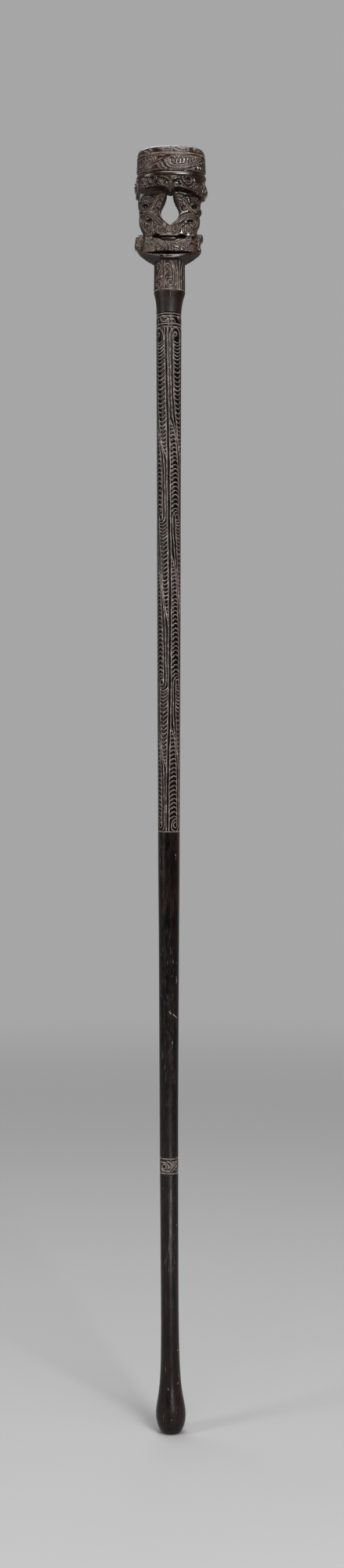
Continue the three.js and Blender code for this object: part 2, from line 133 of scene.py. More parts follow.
def setInputs(node, inputs):
    # by name or in order: an input given as a socket is linked, any other is its value
    for key, value in inputs.items() if isinstance(inputs, dict) else enumerate(inputs):
        if isinstance(value, bpy.types.NodeSocket):
            node.id_data.links.new(value, node.inputs[key])
        else:
            node.inputs[key].default_value = value


def addNode(tree, kind, inputs=(), output=0, stops=(), **settings):
    # adds one node and returns one of its outputs; stops are the places and colours of a ramp
    node = tree.nodes.new("ShaderNode" + kind)
    for key, value in settings.items():
        setattr(node, key, value)
    setInputs(node, inputs)
    for spot, (place, code) in enumerate(stops):
        element = node.color_ramp.elements[spot] if spot < 2 else node.color_ramp.elements.new(place)
        element.position, element.color = place, hexColour(code)
    return node.outputs[output] if node.outputs else None


def newMaterial(name):
    # a material, its shader, and addNode for its own nodes
    material = bpy.data.materials.new(name)
    material.use_nodes = True
    material.node_tree.nodes.clear()
    add = partial(addNode, material.node_tree)
    surface = add("BsdfPrincipled")
    add("OutputMaterial", {"Surface": surface})
    return material, surface.node, add


# how far each pattern of the wood is drawn out along the stick, its scale, detail, roughness and
# distortion
woodPatterns = {
    "streak": (0.03, 820, 4, 0.6, 0),  # growth streaks 1.2 mm wide and some 40 mm long
    "patch": (0.3, 130, 3, 0.55, 0),  # brown heartwood patches 8 mm wide and 25 mm long
    "scratch": (0.05, 2400, 3, 0.7, 0.4),  # scratches 0.2 mm wide and 8 mm long
    "bunch": (0.3, 60, 2, 0.5, 0),  # where the stick has been knocked
    "blotch": (1, 420, 3, 0.6, 0),  # blotches of lime stain 2.5 mm across
    "rubbed": (0.3, 260, 4, 0.6, 0),  # broad patches of the polish
    "pore": (0.06, 2900, 2, 0.6, 0),  # pores 0.15 mm wide, drawn as 0.35 mm so that they show
}


def ebonyMaterial(name, look):
    # Black ebony, scraped and then polished by hands: a close straight grain that shows only as
    # darker and browner streaks, short open pores, fine scratches along the stick, and a sheen
    # that breaks up where the surface is worn
    material, shader, add = newMaterial(name)
    place = add("TexCoord", output="Object")
    wood = {}
    for pattern, (drawnOut, scale, detail, rough, distortion) in woodPatterns.items():
        along = add("Mapping", {"Vector": place, "Scale": (1, 1, drawnOut)})
        wood[pattern] = add("TexNoise", {"Vector": along, "Scale": scale, "Detail": detail,
                                         "Roughness": rough, "Distortion": distortion})
    heartwood = add("MapRange", (wood["patch"], 0.42, 0.7, 0.0, look["patches"]))
    # browner and drier towards the foot
    height = add("SeparateXYZ", (place,), "Z")
    low = add("MapRange", (height, 0.0, 0.32, look["dryFoot"], 0.0))
    dry = add("Math", (low, wood["streak"]), operation="MULTIPLY", use_clamp=True)
    # scratches in bunches
    level = add("MapRange", (wood["bunch"], 0.38, 0.62, 0.0, look["scratches"]))
    pale = add("MapRange", (wood["scratch"], 0.6, 0.72, 0.0, level))
    # specks of dust and lime 0.3 mm across, in some of the cells of 4 mm
    cell = add("TexVoronoi", {"Vector": place, "Scale": 250.0}).node
    chosen = add("Math", (cell.outputs["Color"], 0.62), operation="GREATER_THAN")
    dot = add("MapRange", (cell.outputs["Distance"], 0.03, 0.055, look["specks"], 0.0))
    speck = add("Math", (dot, chosen), operation="MULTIPLY")
    # lime that has stained the wood beside the cut lines
    near = add("Attribute", output="Fac", attribute_name="nearLime")
    blotch = add("MapRange", (wood["blotch"], 0.3, 0.65, 0.4 * look["stain"], look["stain"]))
    stain = add("Math", (near, blotch), operation="MULTIPLY", use_clamp=True)
    colour = add("ValToRGB", (wood["streak"],), stops=[
        (0.3, look["dark"]), (0.56, look["middle"]), (0.75, look["brown"])])
    for share, code in ((heartwood, look["brown"]), (dry, look["brown"]), (pale, look["worn"]),
                        (speck, "#a39a93"), (stain, look["limeStain"])):
        colour = add("Mix", {0: share, 6: colour, 7: hexColour(code)}, 2, data_type="RGBA")
    # the polish: duller on stained wood, and dull where the knife's scraping was left
    gloss = add("MapRange", (wood["rubbed"], 0.3, 0.72, *look["roughness"]))
    scraped = add("Attribute", output="Fac", attribute_name="scraped")
    for share, duller in ((stain, 0.3), (scraped, 0.6)):
        gloss = add("Math", (share, duller, gloss), operation="MULTIPLY_ADD", use_clamp=True)
    relief = wood["pore"]
    for share, depth in ((wood["streak"], 1.4), (pale, 2.2)):
        relief = add("Math", (share, depth, relief), operation="MULTIPLY_ADD")
    bump = add("Bump", {"Height": relief, "Strength": look["bump"], "Distance": 0.00006})
    setInputs(shader, {"Base Color": colour, "Roughness": gloss, "IOR": look["ior"], "Normal": bump})
    return material


def limeMaterial(name, look):
    # Lime burnt from coral and pressed into the cut lines as a paste: matt, chalky and slightly
    # pink, with grains of 0.3 mm, rubbed darker by hands and gone here and there
    material, shader, add = newMaterial(name)
    place = add("TexCoord", output="Object")
    # clouds 3 mm across, from grimy to rubbed clean
    cloud = add("TexNoise", {"Vector": place, "Scale": 330, "Detail": 4, "Roughness": 0.6})
    lime = add("ValToRGB", (cloud,), stops=[
        (0.3, look["dirty"]), (0.52, look["plain"]), (0.74, look["clean"])])
    grain = add("TexNoise", {"Vector": place, "Scale": 2600, "Detail": 3, "Roughness": 0.7})
    # specks of bare wood, where grains have fallen out
    gone = add("MapRange", (grain, 0.34, 0.5, look["gone"], 0.0))
    lime = add("Mix", {0: gone, 6: lime, 7: hexColour(look["speck"])}, 2, data_type="RGBA")
    bump = add("Bump", {"Height": grain, "Strength": 0.6, "Distance": 0.00015})
    setInputs(shader, {"Base Color": lime, "Roughness": look["roughness"], "IOR": 1.4, "Normal": bump})
    return material


usual = {"dryFoot": 0.0, "scratches": 0.3, "specks": 0.4, "stain": 0.2, "ior": 1.3}
ebonyLooks = {
    "plain": {**usual, "dark": "#030202", "middle": "#070505", "brown": "#21140e", "worn": "#6b6463",
              "limeStain": "#6a5c52", "patches": 0.55, "dryFoot": 0.6, "scratches": 0.75, "specks": 0.9,
              "stain": 0.7, "roughness": (0.13, 0.36), "bump": 0.8},
    "engraved": {**usual, "dark": "#030202", "middle": "#050404", "brown": "#0c0908", "worn": "#292321",
                 "limeStain": "#3a312b", "patches": 0.5, "scratches": 0.25, "specks": 0.3,
                 "roughness": (0.17, 0.3), "bump": 0.4, "ior": 1.26},
    "neck": {**usual, "dark": "#070301", "middle": "#100703", "brown": "#241309", "worn": "#33261f",
             "limeStain": "#3f332a", "patches": 0.8, "roughness": (0.4, 0.56), "bump": 0.6},
    "finial": {**usual, "dark": "#0c0603", "middle": "#160b06", "brown": "#2e1b10", "worn": "#4a392e",
               "limeStain": "#3f3329", "patches": 0.7, "scratches": 0.25, "specks": 0.3, "stain": 0.5,
               "roughness": (0.15, 0.3), "bump": 0.45, "ior": 1.45},
}
ebonyLooks["bared"] = {**ebonyLooks["neck"], "dark": "#2c1b12", "middle": "#4a2f1f", "brown": "#6e4830"}
limeLooks = {
    "shaft": {"dirty": "#433936", "plain": "#72665f", "clean": "#b3a69f", "speck": "#2a2523", "gone": 0.6,
              "roughness": 0.7},
    "collar": {"dirty": "#392d26", "plain": "#64554b", "clean": "#a39287", "speck": "#241b16", "gone": 0.65,
               "roughness": 0.6},
    "finial": {"dirty": "#30261f", "plain": "#635247", "clean": "#a08e80", "speck": "#1f1814", "gone": 0.7,
               "roughness": 0.42},
}
polishedEbonyPlain = ebonyMaterial("polished_ebony_plain", ebonyLooks["plain"])
polishedEbonyEngraved = ebonyMaterial("polished_ebony_engraved", ebonyLooks["engraved"])
scrapedEbonyNeck = ebonyMaterial("scraped_ebony_neck", ebonyLooks["neck"])
handledEbonyFinial = ebonyMaterial("handled_ebony_finial", ebonyLooks["finial"])
baredWood = ebonyMaterial("bared_brown_wood", ebonyLooks["bared"])
coralLime = limeMaterial("coral_lime", limeLooks["shaft"])
collarLime = limeMaterial("browned_coral_lime", limeLooks["collar"])
wornLime = limeMaterial("worn_coral_lime", limeLooks["finial"])
print("materials made")


# Meshes

def makePiece(name, points, quads, material, triangles=(), near=None, scraped=None,
              replaces=None):
    # points in mm; faces by corner number, outward; near is how close to a lime line each point
    # is, and scraped is 1 on walls that the knife left unpolished
    mesh = bpy.data.meshes.new(name)
    mesh.vertices.add(len(points))
    mesh.vertices.foreach_set("co", (points * mm).astype(np.float32).ravel())
    corners = np.concatenate([quads.ravel(), np.ravel(triangles)])
    mesh.loops.add(len(corners))
    mesh.loops.foreach_set("vertex_index", corners.astype(np.int32))
    mesh.polygons.add(len(quads) + len(triangles))
    starts = np.concatenate([np.arange(len(quads)) * 4, len(quads) * 4 + np.arange(len(triangles)) * 3])
    mesh.polygons.foreach_set("loop_start", starts.astype(np.int32))
    mesh.update(calc_edges=True)
    mesh.validate()
    mesh.polygons.foreach_set("use_smooth", np.ones(len(mesh.polygons), bool))
    for layerName, values in (("nearLime", near), ("scraped", scraped)):
        if values is not None:
            layer = mesh.attributes.new(layerName, "FLOAT", "POINT")
            layer.data.foreach_set("value", values.astype(np.float32).ravel())
    mesh.materials.append(material)
    piece = bpy.data.objects.new(name, mesh)
    bpy.context.scene.collection.objects.link(piece)
    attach(piece, "root")
    if replaces:
        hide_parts(*replaces)
    print(name, len(mesh.vertices), "points")
    return piece


def makeTube(name, points, material, near):
    # points is a grid of rings by sides; both ends are closed with a fan and keep a crisp edge
    rings, sides = points.shape[:2]
    r, s = np.meshgrid(np.arange(rings - 1), np.arange(sides), indexing="ij")
    after = (s + 1) % sides
    quads = np.stack([r * sides + s, r * sides + after, (r + 1) * sides + after, (r + 1) * sides + s], -1)
    side = np.arange(sides)
    after = (side + 1) % sides
    foot, top = rings * sides, rings * sides + 1
    fans = np.vstack([
        np.column_stack([np.full(sides, foot), after, side]),
        np.column_stack([np.full(sides, top), foot - sides + side, foot - sides + after]),
    ])
    points = np.vstack([points.reshape(-1, 3), points[0].mean(0), points[-1].mean(0)])
    near = np.concatenate([near.ravel(), [0, 0]])
    piece = makePiece(name, points, quads.reshape(-1, 4), material, fans, near, replaces=["ebony_stick"])
    edges = np.zeros(len(piece.data.edges) * 2, np.int32)
    piece.data.edges.foreach_get("vertices", edges)
    ring = edges.reshape(-1, 2) // sides
    atEnd = (ring[:, 0] == ring[:, 1]) & ((ring[:, 0] == 0) | (ring[:, 0] == rings - 1))
    piece.data.attributes.new("sharp_edge", "BOOLEAN", "EDGE").data.foreach_set("value", atEnd)


def distanceTo(places, grid, row, column, reach, wraps=True):
    # how far each grid point is from the nearest place: every place, at its row and column
    # of the grid, updates the grid points around it
    rows, columns = grid.shape[:2]
    nearest = np.full((rows, columns), 99.0)
    row = np.rint(row).astype(int)
    column = np.rint(column).astype(int)
    for i in range(-reach, reach + 1):
        for j in range(-reach, reach + 1):
            r = row + i
            c = (column + j) % columns if wraps else column + j
            good = (r >= 0) & (r < rows) & (c >= 0) & (c < columns)
            gap = np.linalg.norm(grid[r[good], c[good]] - places[good], axis=1)
            np.minimum.at(nearest, (r[good], c[good]), gap)
    return nearest


# mm between the corners along a ribbon
ribbonStep = {"large": 0.65, "finial": 0.55, "fine": 0.4}


def makeInlay(name, paths, surface, material, section, step=ribbonStep["large"], replaces=None):
    # a lime ribbon along each path, four corners round its section: across = tangent x normal;
    # the section is its width, how deep its foot lies and how far its face is sunk, in mm
    width, depth, sink = section
    points, quads = [], []
    start = 0
    for path in paths:
        flat = surface(path[:, 0], path[:, 1], 0.0)
        closed = len(path) > 6 and np.linalg.norm(flat[0] - flat[-1]) < 0.02
        place, u, v = np.split(evenly(np.hstack([flat, path]), step), (3, 4), axis=1)
        u, v = u[:, 0], v[:, 0]
        if closed:
            place, u, v = place[:-1], u[:-1], v[:-1]
            along = np.roll(place, -1, 0) - np.roll(place, 1, 0)
        else:
            along = np.gradient(place, axis=0)
        base = surface(u, v, 0.0)
        out = surface(u, v, 1.0) - base
        out /= np.linalg.norm(out, axis=1)[:, None]
        across = np.cross(along, out)
        across /= np.linalg.norm(across, axis=1)[:, None] + 1e-9
        count = len(place)
        spot = np.arange(count)
        # the knife's pressure makes each line a little wider and narrower
        pressed = 0.12 * np.sin(spot * 1.9 + start) * np.sin(spot * 0.37 + start * 0.7)
        half = width / 2 * (1 + pressed)[:, None]
        if not closed:
            half[[0, -1]] *= 0.6
        corners = ((1, -sink), (-1, -sink), (-0.6, -depth), (0.6, -depth))
        around = np.stack([base + across * half * way + out * rise for way, rise in corners], 1)
        points.append(around.reshape(-1, 3))
        first = start + spot * 4
        second = start + ((spot + 1) % count) * 4
        if not closed:
            first, second = first[:-1], second[:-1]
        for corner in range(4):
            after = (corner + 1) % 4
            quads.append(np.column_stack([first + corner, first + after, second + after, second + corner]))
        if not closed:
            ends = np.arange(4) + [[start], [start + (count - 1) * 4]]
            quads.append(np.array([ends[0, ::-1], ends[1]]))
        start += count * 4
    makePiece(name, np.vstack(points), np.vstack(quads)[:, ::-1], material, replaces=replaces)


def stainNear(gap):
    # 1 on a lime line, and nothing from about 1 mm beside it
    return np.exp(-(gap / 0.5) ** 2)


def grooved(gap, depth, width, pillow):
    # a cut of this depth along each line, and the wood between the lines slightly rounded
    return -depth * np.exp(-(gap / width) ** 2) - pillow * np.exp(-gap / 0.9)


def engravedTube(name, heights, paths, place, sides, material, cut, extra=None, crown=None):
    # a tube with its cut lines; paths are in (turn, height), cut is their depth, width and
    # pillow, extra adds to the radius, and crown gives the rings that close the top
    z, t = np.meshgrid(heights, np.arange(sides) * 360 / sides, indexing="ij")
    dense = np.vstack([evenly(np.hstack([place(path[:, 0], path[:, 1], 0.0), path]), 0.2) for path in paths])
    row = np.interp(dense[:, 4], heights, np.arange(len(heights)))
    column = (dense[:, 3] % 360) / 360 * sides
    gap = distanceTo(dense[:, :3], place(t, z, 0.0), row, column, 4)
    rise = grooved(gap, *cut)
    if extra:
        rise = rise + extra(t, z)
    wall = place(t, z, rise)
    near = stainNear(gap)
    if crown:
        top = crown(wall[-1])
        wall, near = np.concatenate([wall, top]), np.concatenate([near, np.zeros(top.shape[:2])])
    makeTube(name, wall, material, near)


def roundPart(middleAt, wideAt, deepAt, depthAt):
    # a length of the stick, an ellipse in plan: its surface, and how a drawing wraps round it
    def place(turn, z, rise):
        # turn in degrees from the front: x = middle + a sin(turn), y = -b cos(turn)
        angle = np.radians(turn)
        a, b = wideAt(z) + rise, deepAt(z) + rise
        return np.stack([middleAt(z) + a * np.sin(angle), -b * np.cos(angle), z + 0 * a], -1)

    def wrap(lines, sheet, below=math.inf):
        # into (turn, height): sin(turn) = (x - middle) / half width
        paths = []
        for line in lines:
            x, z = sighted(line, sheet, depthAt).T
            x, z = x[z < below], z[z < below]
            if len(z) > 2:
                share = np.clip((x - middleAt(z)) / wideAt(z), -0.995, 0.995)
                paths.append(np.column_stack([np.degrees(np.arcsin(share)), z]))
        return paths
    return place, wrap


def bothSides(paths):
    # the front's drawing, and the same turned round to the back
    return paths + [path + np.array([180, 0]) for path in paths]


def ringsAt(heights):
    # a level line right round the stick at each height
    turn = np.linspace(0, 360, 181)
    return [np.column_stack([turn, np.full(181, z)]) for z in heights]


# Plain shaft and knob

stick = {
    "sides": 160,
    # radius at each height, from the foot up
    "knobTop": 102,
    "knob": listed("""
    0,4.4 0.5,5.9 1.2,7 2.4,8.1 4,9 6,9.8 8.5,10.45 11,10.85 14,11 18,10.75 24,9.8 28.5,9 33,8.35 38,7.85
    44,7.45 52,7.1 62,6.85 80,6.65 102,6.6"""),
    "shaft": listed("""
    102,6.6 160,6.65 195,6.8 246,6.95 304,7.2 362,7.55 402,7.85 442,8.05 478,8.15 535,8.4 628,8.72 685,8.8
    731,9 778,9.2 812,9.3 826,9.2"""),
    # heights of the rings of points: the sole's edge, then from, to and step
    "sole": [0, 0.2, 0.5, 0.9, 1.3, 1.8, 2.4, 3.1, 3.9],
    "rings": [(4.7, 60, 0.8), (60, 188, 1.6), (188, 206.3, 0.3), (207, 441.5, 1.6)],
    "engravingFoot": 442.1,
    "engravingTop": 823.6,
    "handWorn": 0.045,  # height of the flats and hollows that the scraper left
    # where they fade in above the sole, and where they are gone below the engraving
    "wornFrom": (3, 12),
    "wornTo": (442, 20),
}


def stickRadius(z):
    # the radii above as one smooth curve
    return np.where(z < stick["knobTop"], smoothThrough(stick["knob"], z), smoothThrough(stick["shaft"], z))


def stickDepth(x, z):
    # half depth at x: the root of radius squared less x squared
    return np.sqrt(np.maximum(stickRadius(z) ** 2 - (x - lean(z)) ** 2, 0.5))


def handWorn(t, z):
    # sum of slow waves, none on the sole and at the engraving
    angle = np.radians(t)
    (foot, footFade), (top, topFade) = stick["wornFrom"], stick["wornTo"]
    fade = np.clip((z - foot) / footFade, 0, 1)
    wave = np.sin(3 * angle + z / 37) + 0.7 * np.sin(5 * angle - z / 61 + 1.3)
    wave += 0.6 * np.sin(2 * angle + z / 23 + 4)
    return stick["handWorn"] * wave * fade * np.clip((top - z) / topFade, 0, 1)


onStick, wrapOnStick = roundPart(lean, stickRadius, stickRadius, stickDepth)
lowerBand = {
    "sheet": {"left": 195, "top": 1465, "scale": 34.84},
    "rings": [191.7, 202.5],
    "cut": (0.34, 0.45, 0.06),
    "inlay": (0.8, 0.6, 0.19),
    "lines": drawn("""
    arc 500 800 88 105; 330,600 470,610 600,670 690,760 730,830 640,890;
    610,590 720,600 800,660 840,720 820,780; 370,740 380,850 450,950 560,990 680,980;
    860,590 930,640 900,700 830,790 740,870; 1110,580 1000,700 880,840 760,960;
    1140,520 1060,560 960,600 900,590; 1150,660 1060,780 950,900 850,1010;
    960,890 1000,950 1080,970 1140,930; 1060,770 1100,870 1150,900;
    340,880 400,960 500,1010 620,1030 760,1020;
    """),
}
bandPaths = bothSides(wrapOnStick(lowerBand["lines"], lowerBand["sheet"])) + ringsAt(lowerBand["rings"])
plainHeights = np.concatenate([
    stick["sole"], *[np.arange(*part) for part in stick["rings"]], [stick["engravingFoot"]]])
engravedTube("plain_shaft_and_knob", plainHeights, bandPaths, onStick, stick["sides"],
             polishedEbonyPlain, lowerBand["cut"], handWorn)

# Scars of use, traced from the photograph in its own pixels: lime-dusted scratches and
# chips where brown wood shows
scars = {
    "sheet": {"left": 0, "top": 0, "scale": 1.0},
    "inlay": (0.6, 0.3, -0.03),
    "dusted": """
    223.6,1089.5 224.4,1092.5; 224.8,1245 225.5,1250 225,1255; 215.4,1290 218.4,1293.4; 221,1294 226.4,1299;
    219.6,1328.5 220.4,1332; 214.6,1366.5 215.6,1369.5; 222.6,1494.6 223.1,1496; 218.4,1518.4 218.9,1519.8;
    225.1,1561.6 225.6,1563; 226,1723 228,1720.8; 226,1765.4 228.2,1762.6; 217.9,1727.6 218.6,1732;
    214.3,1770.8 215.1,1773; 218.6,1810 219.6,1812.6""",
    "bared": """
    220.6,1225.6 221.4,1229; 224.4,1093 224,1097.5; 227.6,1753 228,1757; 211,1744 211.7,1750;
    209,1640 209.3,1647""",
}
for name, material in (("dusted", coralLime), ("bared", baredWood)):
    marks = [stroke(listed(mark), False, 4) for mark in scars[name].split(";")]
    makeInlay(name + "_scars", wrapOnStick(marks, scars["sheet"]), onStick, material, scars["inlay"],
              ribbonStep["fine"])

# Engraved shaft: four equal columns of scroll and crescent, parted by plain stripes

carving = {
    "cut": (0.36, 0.42, 0.1),
    "inlay": (0.64, 0.6, 0.24),
    "split": 632.0,  # the shaft is two pieces, which meet here
    "foot": 442.1,
    "top": 812.7,
    "footRing": 442.45,
    "eyes": [807.3, 673.3, 552.2, 447.6],  # heights of the scroll eyes
    "eyeSizes": [0.72, 1, 1, 1],
    # where the slanting lines leave one edge and meet the other
    "crossings": [(745.0, 716.5), (646.7, 595.9), (520.3, 488.7)],
    "edge": 0.09,  # of the column, from a stripe's middle to its lime line
    "ring": (1.8, 2.2),  # half width and half height of an eye
    "columnWidth": 13.74,
    # crescents: mm from an eye to the first, and the share of its width where each bends furthest
    # from the eye
    "first": 6.4,
    "bend": 0.4,
    # how far they run back from there, at the far edge and at the slanting line: mm, and mm for
    # each mm of width
    "toEdge": (0.1, 0.38),
    "toSlant": (0.25, 0.22),
    # their pitch in mm, its share on the narrowest and what a full width adds, the share just
    # under an eye and how far down that reaches, and the hand's unevenness
    "pitch": 3.1,
    "narrow": (0.66, 0.4),
    "fullWidth": 7,
    "underEye": (0.66, 24),
    "uneven": (0.9, 1.12),
    # where the front stripe stands, in degrees from the front, at each height
    "wander": listed("""
    440,-7.5 447,-7.5 478,-6 515,0 537,3.5 578,4.6 620,5.5 677,0 727,-3 760,-8 798,-13 815,-14"""),
    # the slanting lines across a column: share of its width at each share of the crossing's height
    "leafLine": listed("1.35,0.4 1,0.46 0.7,0.53 0.5,0.58 0.33,0.65 0.15,0.77 0,0.9"),
    "middleLine": listed("""
    1.6,0.225 1.09,0.265 0.88,0.33 0.75,0.4 0.5,0.51 0.25,0.62 0.12,0.68 -0.09,0.735 -0.6,0.775"""),
    # the hooks beside the eyes: share of the column's width, height above the eye
    "topHook": listed("0.86,-5 0.81,1 0.7,3.7 0.5,4.7 0.3,3.5 0.215,0.8 0.205,-3"),
    "hook": listed("0.55,3.6 0.47,4.2 0.37,3.9 0.27,2.6 0.215,0.2 0.205,-3"),
    "tail": listed("0.795,3 0.785,-0.2 0.73,-2.6 0.63,-3.9 0.53,-4.2 0.45,-3.6"),
    "lastTail": listed("0.795,3 0.79,0 0.75,-2.6 0.68,-3.9 0.6,-4.3"),
    "footHook": listed("0.57,4 0.45,4.2 0.33,3.2 0.26,0.8 0.25,-1.5 0.3,-3.6 0.42,-4.5 0.53,-4.6"),
}


def hookAt(name, eye):
    # a hook or tail of the drawing at its eye's height
    return stroke(np.array(carving[name]) + (0, eye))


def crescents(eye, end, slantZ, slantShare, way):
    # crescents from the eye up (way 1) or down (way -1), between the slanting line and the
    # column's far edge: back from the bend by (rise + steep * width) (share past the bend)^2
    far = carving["edge"] if way > 0 else 1 - carving["edge"]
    bend, (edgeRise, edgeSteep), (slantRise, slantSteep) = (
        carving[key] for key in ("bend", "toEdge", "toSlant"))
    (least, more), (close, reach) = carving["narrow"], carving["underEye"]
    s = np.linspace(0, 1, 9)
    paths = []
    z = eye + way * carving["first"]
    while way * (end - z) > 0:
        span = abs(far - np.interp(z, slantZ[::-1], slantShare[::-1])) * carving["columnWidth"]
        back = np.where(s > bend, (edgeRise + edgeSteep * span) * ((s - bend) / (1 - bend)) ** 2,
                        (slantRise + slantSteep * span) * ((bend - s) / bend) ** 2)
        spot = z - way * back
        there = np.interp(spot, slantZ[::-1], slantShare[::-1])
        paths.append(np.column_stack([there + s * (far - there), spot]))
        # closer together just under an eye
        tight = 1 if way > 0 else close + (1 - close) * min((eye - z) / reach, 1) ** 2
        widely = least + more * min(span / carving["fullWidth"], 1)
        z += way * carving["pitch"] * widely * tight * rng.uniform(*carving["uneven"])
    return paths


def columnPaths(shift):
    # all lines of one column, in (share of the column, height)
    edge, eyes = carving["edge"], carving["eyes"]
    ringX, ringZ = carving["ring"][0] / carving["columnWidth"], carving["ring"][1]
    paths = [np.array([[share, carving["foot"]], [share, carving["top"]]]) for share in (edge, 1 - edge)]
    for eye, size in zip(eyes, carving["eyeSizes"]):
        paths.append(arc(0.5, eye, ringX * size, ringZ * size))
    for level, (upper, lower) in enumerate(zip(eyes, eyes[1:])):
        apex, point = np.array(carving["crossings"][level]) + shift[level]
        tall = apex - point
        leaf = [(upper - 0.2, 0.5 - ringX), (upper - 6, 0.5 - ringX + 0.01), (point - 3, 1 - edge)]
        leaf += [(point + tall * w, a) for w, a in carving["leafLine"] if point + tall * w < upper - 9]
        browLine = [(apex + 3, edge), (lower + 6, 0.5 + ringX - 0.01), (lower + 0.2, 0.5 + ringX)]
        browLine += [(apex - tall * w, 1 - a) for w, a in carving["leafLine"] if apex - tall * w > lower + 9]
        middle = [(upper - 3, 0.205), (lower + 3, 0.795)]
        middle += [(point + tall * w, a) for w, a in carving["middleLine"]
                   if lower + 9 < point + tall * w < upper - 9]
        leafZ = np.linspace(upper - 0.2, point - 1.5, 90)
        browZ = np.linspace(apex + 1.5, lower + 0.2, 90)
        middleZ = np.linspace(upper - 3, lower + 3, 110)
        leafShare = np.minimum(smoothThrough(leaf, leafZ), 1 - edge)
        browShare = np.maximum(smoothThrough(browLine, browZ), edge)
        paths += [np.column_stack([leafShare, leafZ]), np.column_stack([browShare, browZ])]
        hook = hookAt("topHook" if level == 0 else "hook", upper)
        tail = hookAt("lastTail" if level == 2 else "tail", lower)
        body = np.column_stack([smoothThrough(middle, middleZ), middleZ])
        paths.append(np.vstack([hook[:-1], body, tail[1:]]))
        paths += crescents(upper, point + 3.0, leafZ, leafShare, -1)
        paths += crescents(lower, apex - 3.0, browZ, browShare, 1)
    return paths + [hookAt("footHook", eyes[-1])]


shaftPaths = []
toWidth = np.array([carving["columnWidth"], 1])
for column in range(4):
    # the crossings of the two hidden columns are moved a little
    shift = rng.uniform(-4, 4, 3) if column in (1, 2) else (0, 0, 0)
    for path in columnPaths(shift):
        share, z = (evenly(path * toWidth, 0.5, 2) / toWidth).T
        wobble = 0.006 * np.sin(z / 2.3 + column) + 0.004 * np.sin(z / 5.1 + 2 * column)
        turn = smoothThrough(carving["wander"], z) + 90 * (column + share + wobble)
        shaftPaths.append(np.column_stack([turn, z]))

neckBand = {
    "sheet": {"left": 188, "top": 325, "scale": 15.68},
    "rings": [812.7, 814.8, 820.3, 822.4],
    "lines": drawn("""
    500,1215 380,1222 262,1232 262,1285 300,1332 410,1334; 310,1262 400,1256 404,1300 330,1306;
    430,1262 430,1420; 450,1268 520,1282 550,1320 574,1372; 470,1340 520,1346; 610,1248 628,1290 652,1322;
    650,1240 662,1290; 222,1300 214,1380;
    """),
}
upperPaths = shaftPaths + bothSides(wrapOnStick(neckBand["lines"], neckBand["sheet"]))
upperPaths += ringsAt(neckBand["rings"] + [carving["footRing"]])
split = carving["split"]
halves = {
    "lower": (np.linspace(stick["engravingFoot"], split, 560), ["lime_ring_engraving_end"]),
    "upper": (np.linspace(split, stick["engravingTop"], 562), [f"lime_ring_neck_{n}" for n in (1, 2, 3, 4)]),
}
for half, (heights, _) in halves.items():
    inReach = [path for path in upperPaths
               if path[:, 1].min() < heights[-1] + 2 and path[:, 1].max() > heights[0] - 2]
    engravedTube("engraved_shaft_" + half, heights, inReach, onStick, stick["sides"], polishedEbonyEngraved,
                 carving["cut"])
for half, (_, rings) in halves.items():
    inHalf = [path for path in upperPaths if (path[:, 1].mean() < split) == (half == "lower")]
    makeInlay("lime_inlay_shaft_" + half, inHalf, onStick, coralLime, carving["inlay"], replaces=rings)
makeInlay("lime_inlay_lower_band", bandPaths, onStick, coralLime, lowerBand["inlay"],
          replaces=["lime_ring_band_lower", "lime_ring_band_upper"])
print("shaft made")

# Neck and collar

collar = {
    "sides": 224,
    "foot": 823.6,
    "top": 863.6,
    "axis": 0.5,  # from the bow's line, reached over the neck's flare
    "halfWidth": listed("""
    823.6,9.2 826,9.25 830.7,9.7 834.4,10.35 837.5,11.2 839.2,11.6 841,11.55 850,11.45 858,11.4 864,11.6"""),
    "halfDepth": listed("""
    823.6,9.2 826,9.2 830.7,9.45 834.4,9.8 837.5,10.3 839.2,10.5 841,10.45 850,10.4 858,10.4 864,10.5"""),
    "ring": 839.9,
    "cut": (0.42, 0.42, 0.1),
    "inlay": (0.82, 0.7, 0.2),
    "sheet": {"left": 196, "top": 326, "scale": 24.0},
    "lines": drawn("""
    # the hooks at the left edge
    88,330 100,262 150,232 190,272 206,350 200,424 172,486 136,560 88,642 62,706 76,776;
    108,300 122,350 116,424 92,476; 208,516 190,572 150,624 112,686 98,744; 232,584 224,640 168,668 128,716;
    104,800 158,776 204,806 218,866 206,936 168,992 112,1004; 78,830 64,900 80,976;
    168,862 132,858 112,900 122,946 156,930;
    # the two uprights beside the middle
    250,96 248,400 252,700 250,1034; 346,110 326,240 332,380 352,470 344,560 320,650 314,800 324,1030;
    # the hook in the middle: its eye, its stem and the rings that close round its foot
    arc 424 344 15; arc 424 344 30; 456,366 506,420 538,500 540,590 534,650;
    372,300 388,248 434,226 486,254 528,330; 524,130 560,240 594,340 612,450 612,600 622,700 616,800 588,880
    536,906 472,882 444,822 454,764 500,732 562,738; 560,150 604,250 640,340 662,450 680,600 692,750 682,880
    648,950 580,976 490,962 430,930 386,860 370,760 384,676 434,636; 480,652 528,666 574,648;
    448,464 398,508 352,576;
    # the uprights at the right
    680,130 712,290 726,450 738,650 738,900 722,1050; 806,150 800,400 796,700 804,1060;
    912,200 876,336 860,450 856,700 866,900 860,1070; 936,300 926,450 924,620 930,900 922,1050;
    """),
    # lime that ran down the neck
    "runs": drawn("516,1106 520,1170 516,1280; 496,1384 500,1410"),
    "runInlay": (0.34, 0.3, -0.03),
}


collarWide = partial(smoothThrough, collar["halfWidth"])
collarDeep = partial(smoothThrough, collar["halfDepth"])


def collarMiddle(z):
    # the bow's line, moved over through the neck's flare
    return lean(z) + collar["axis"] * np.clip((z - 824) / 14, 0, 1)


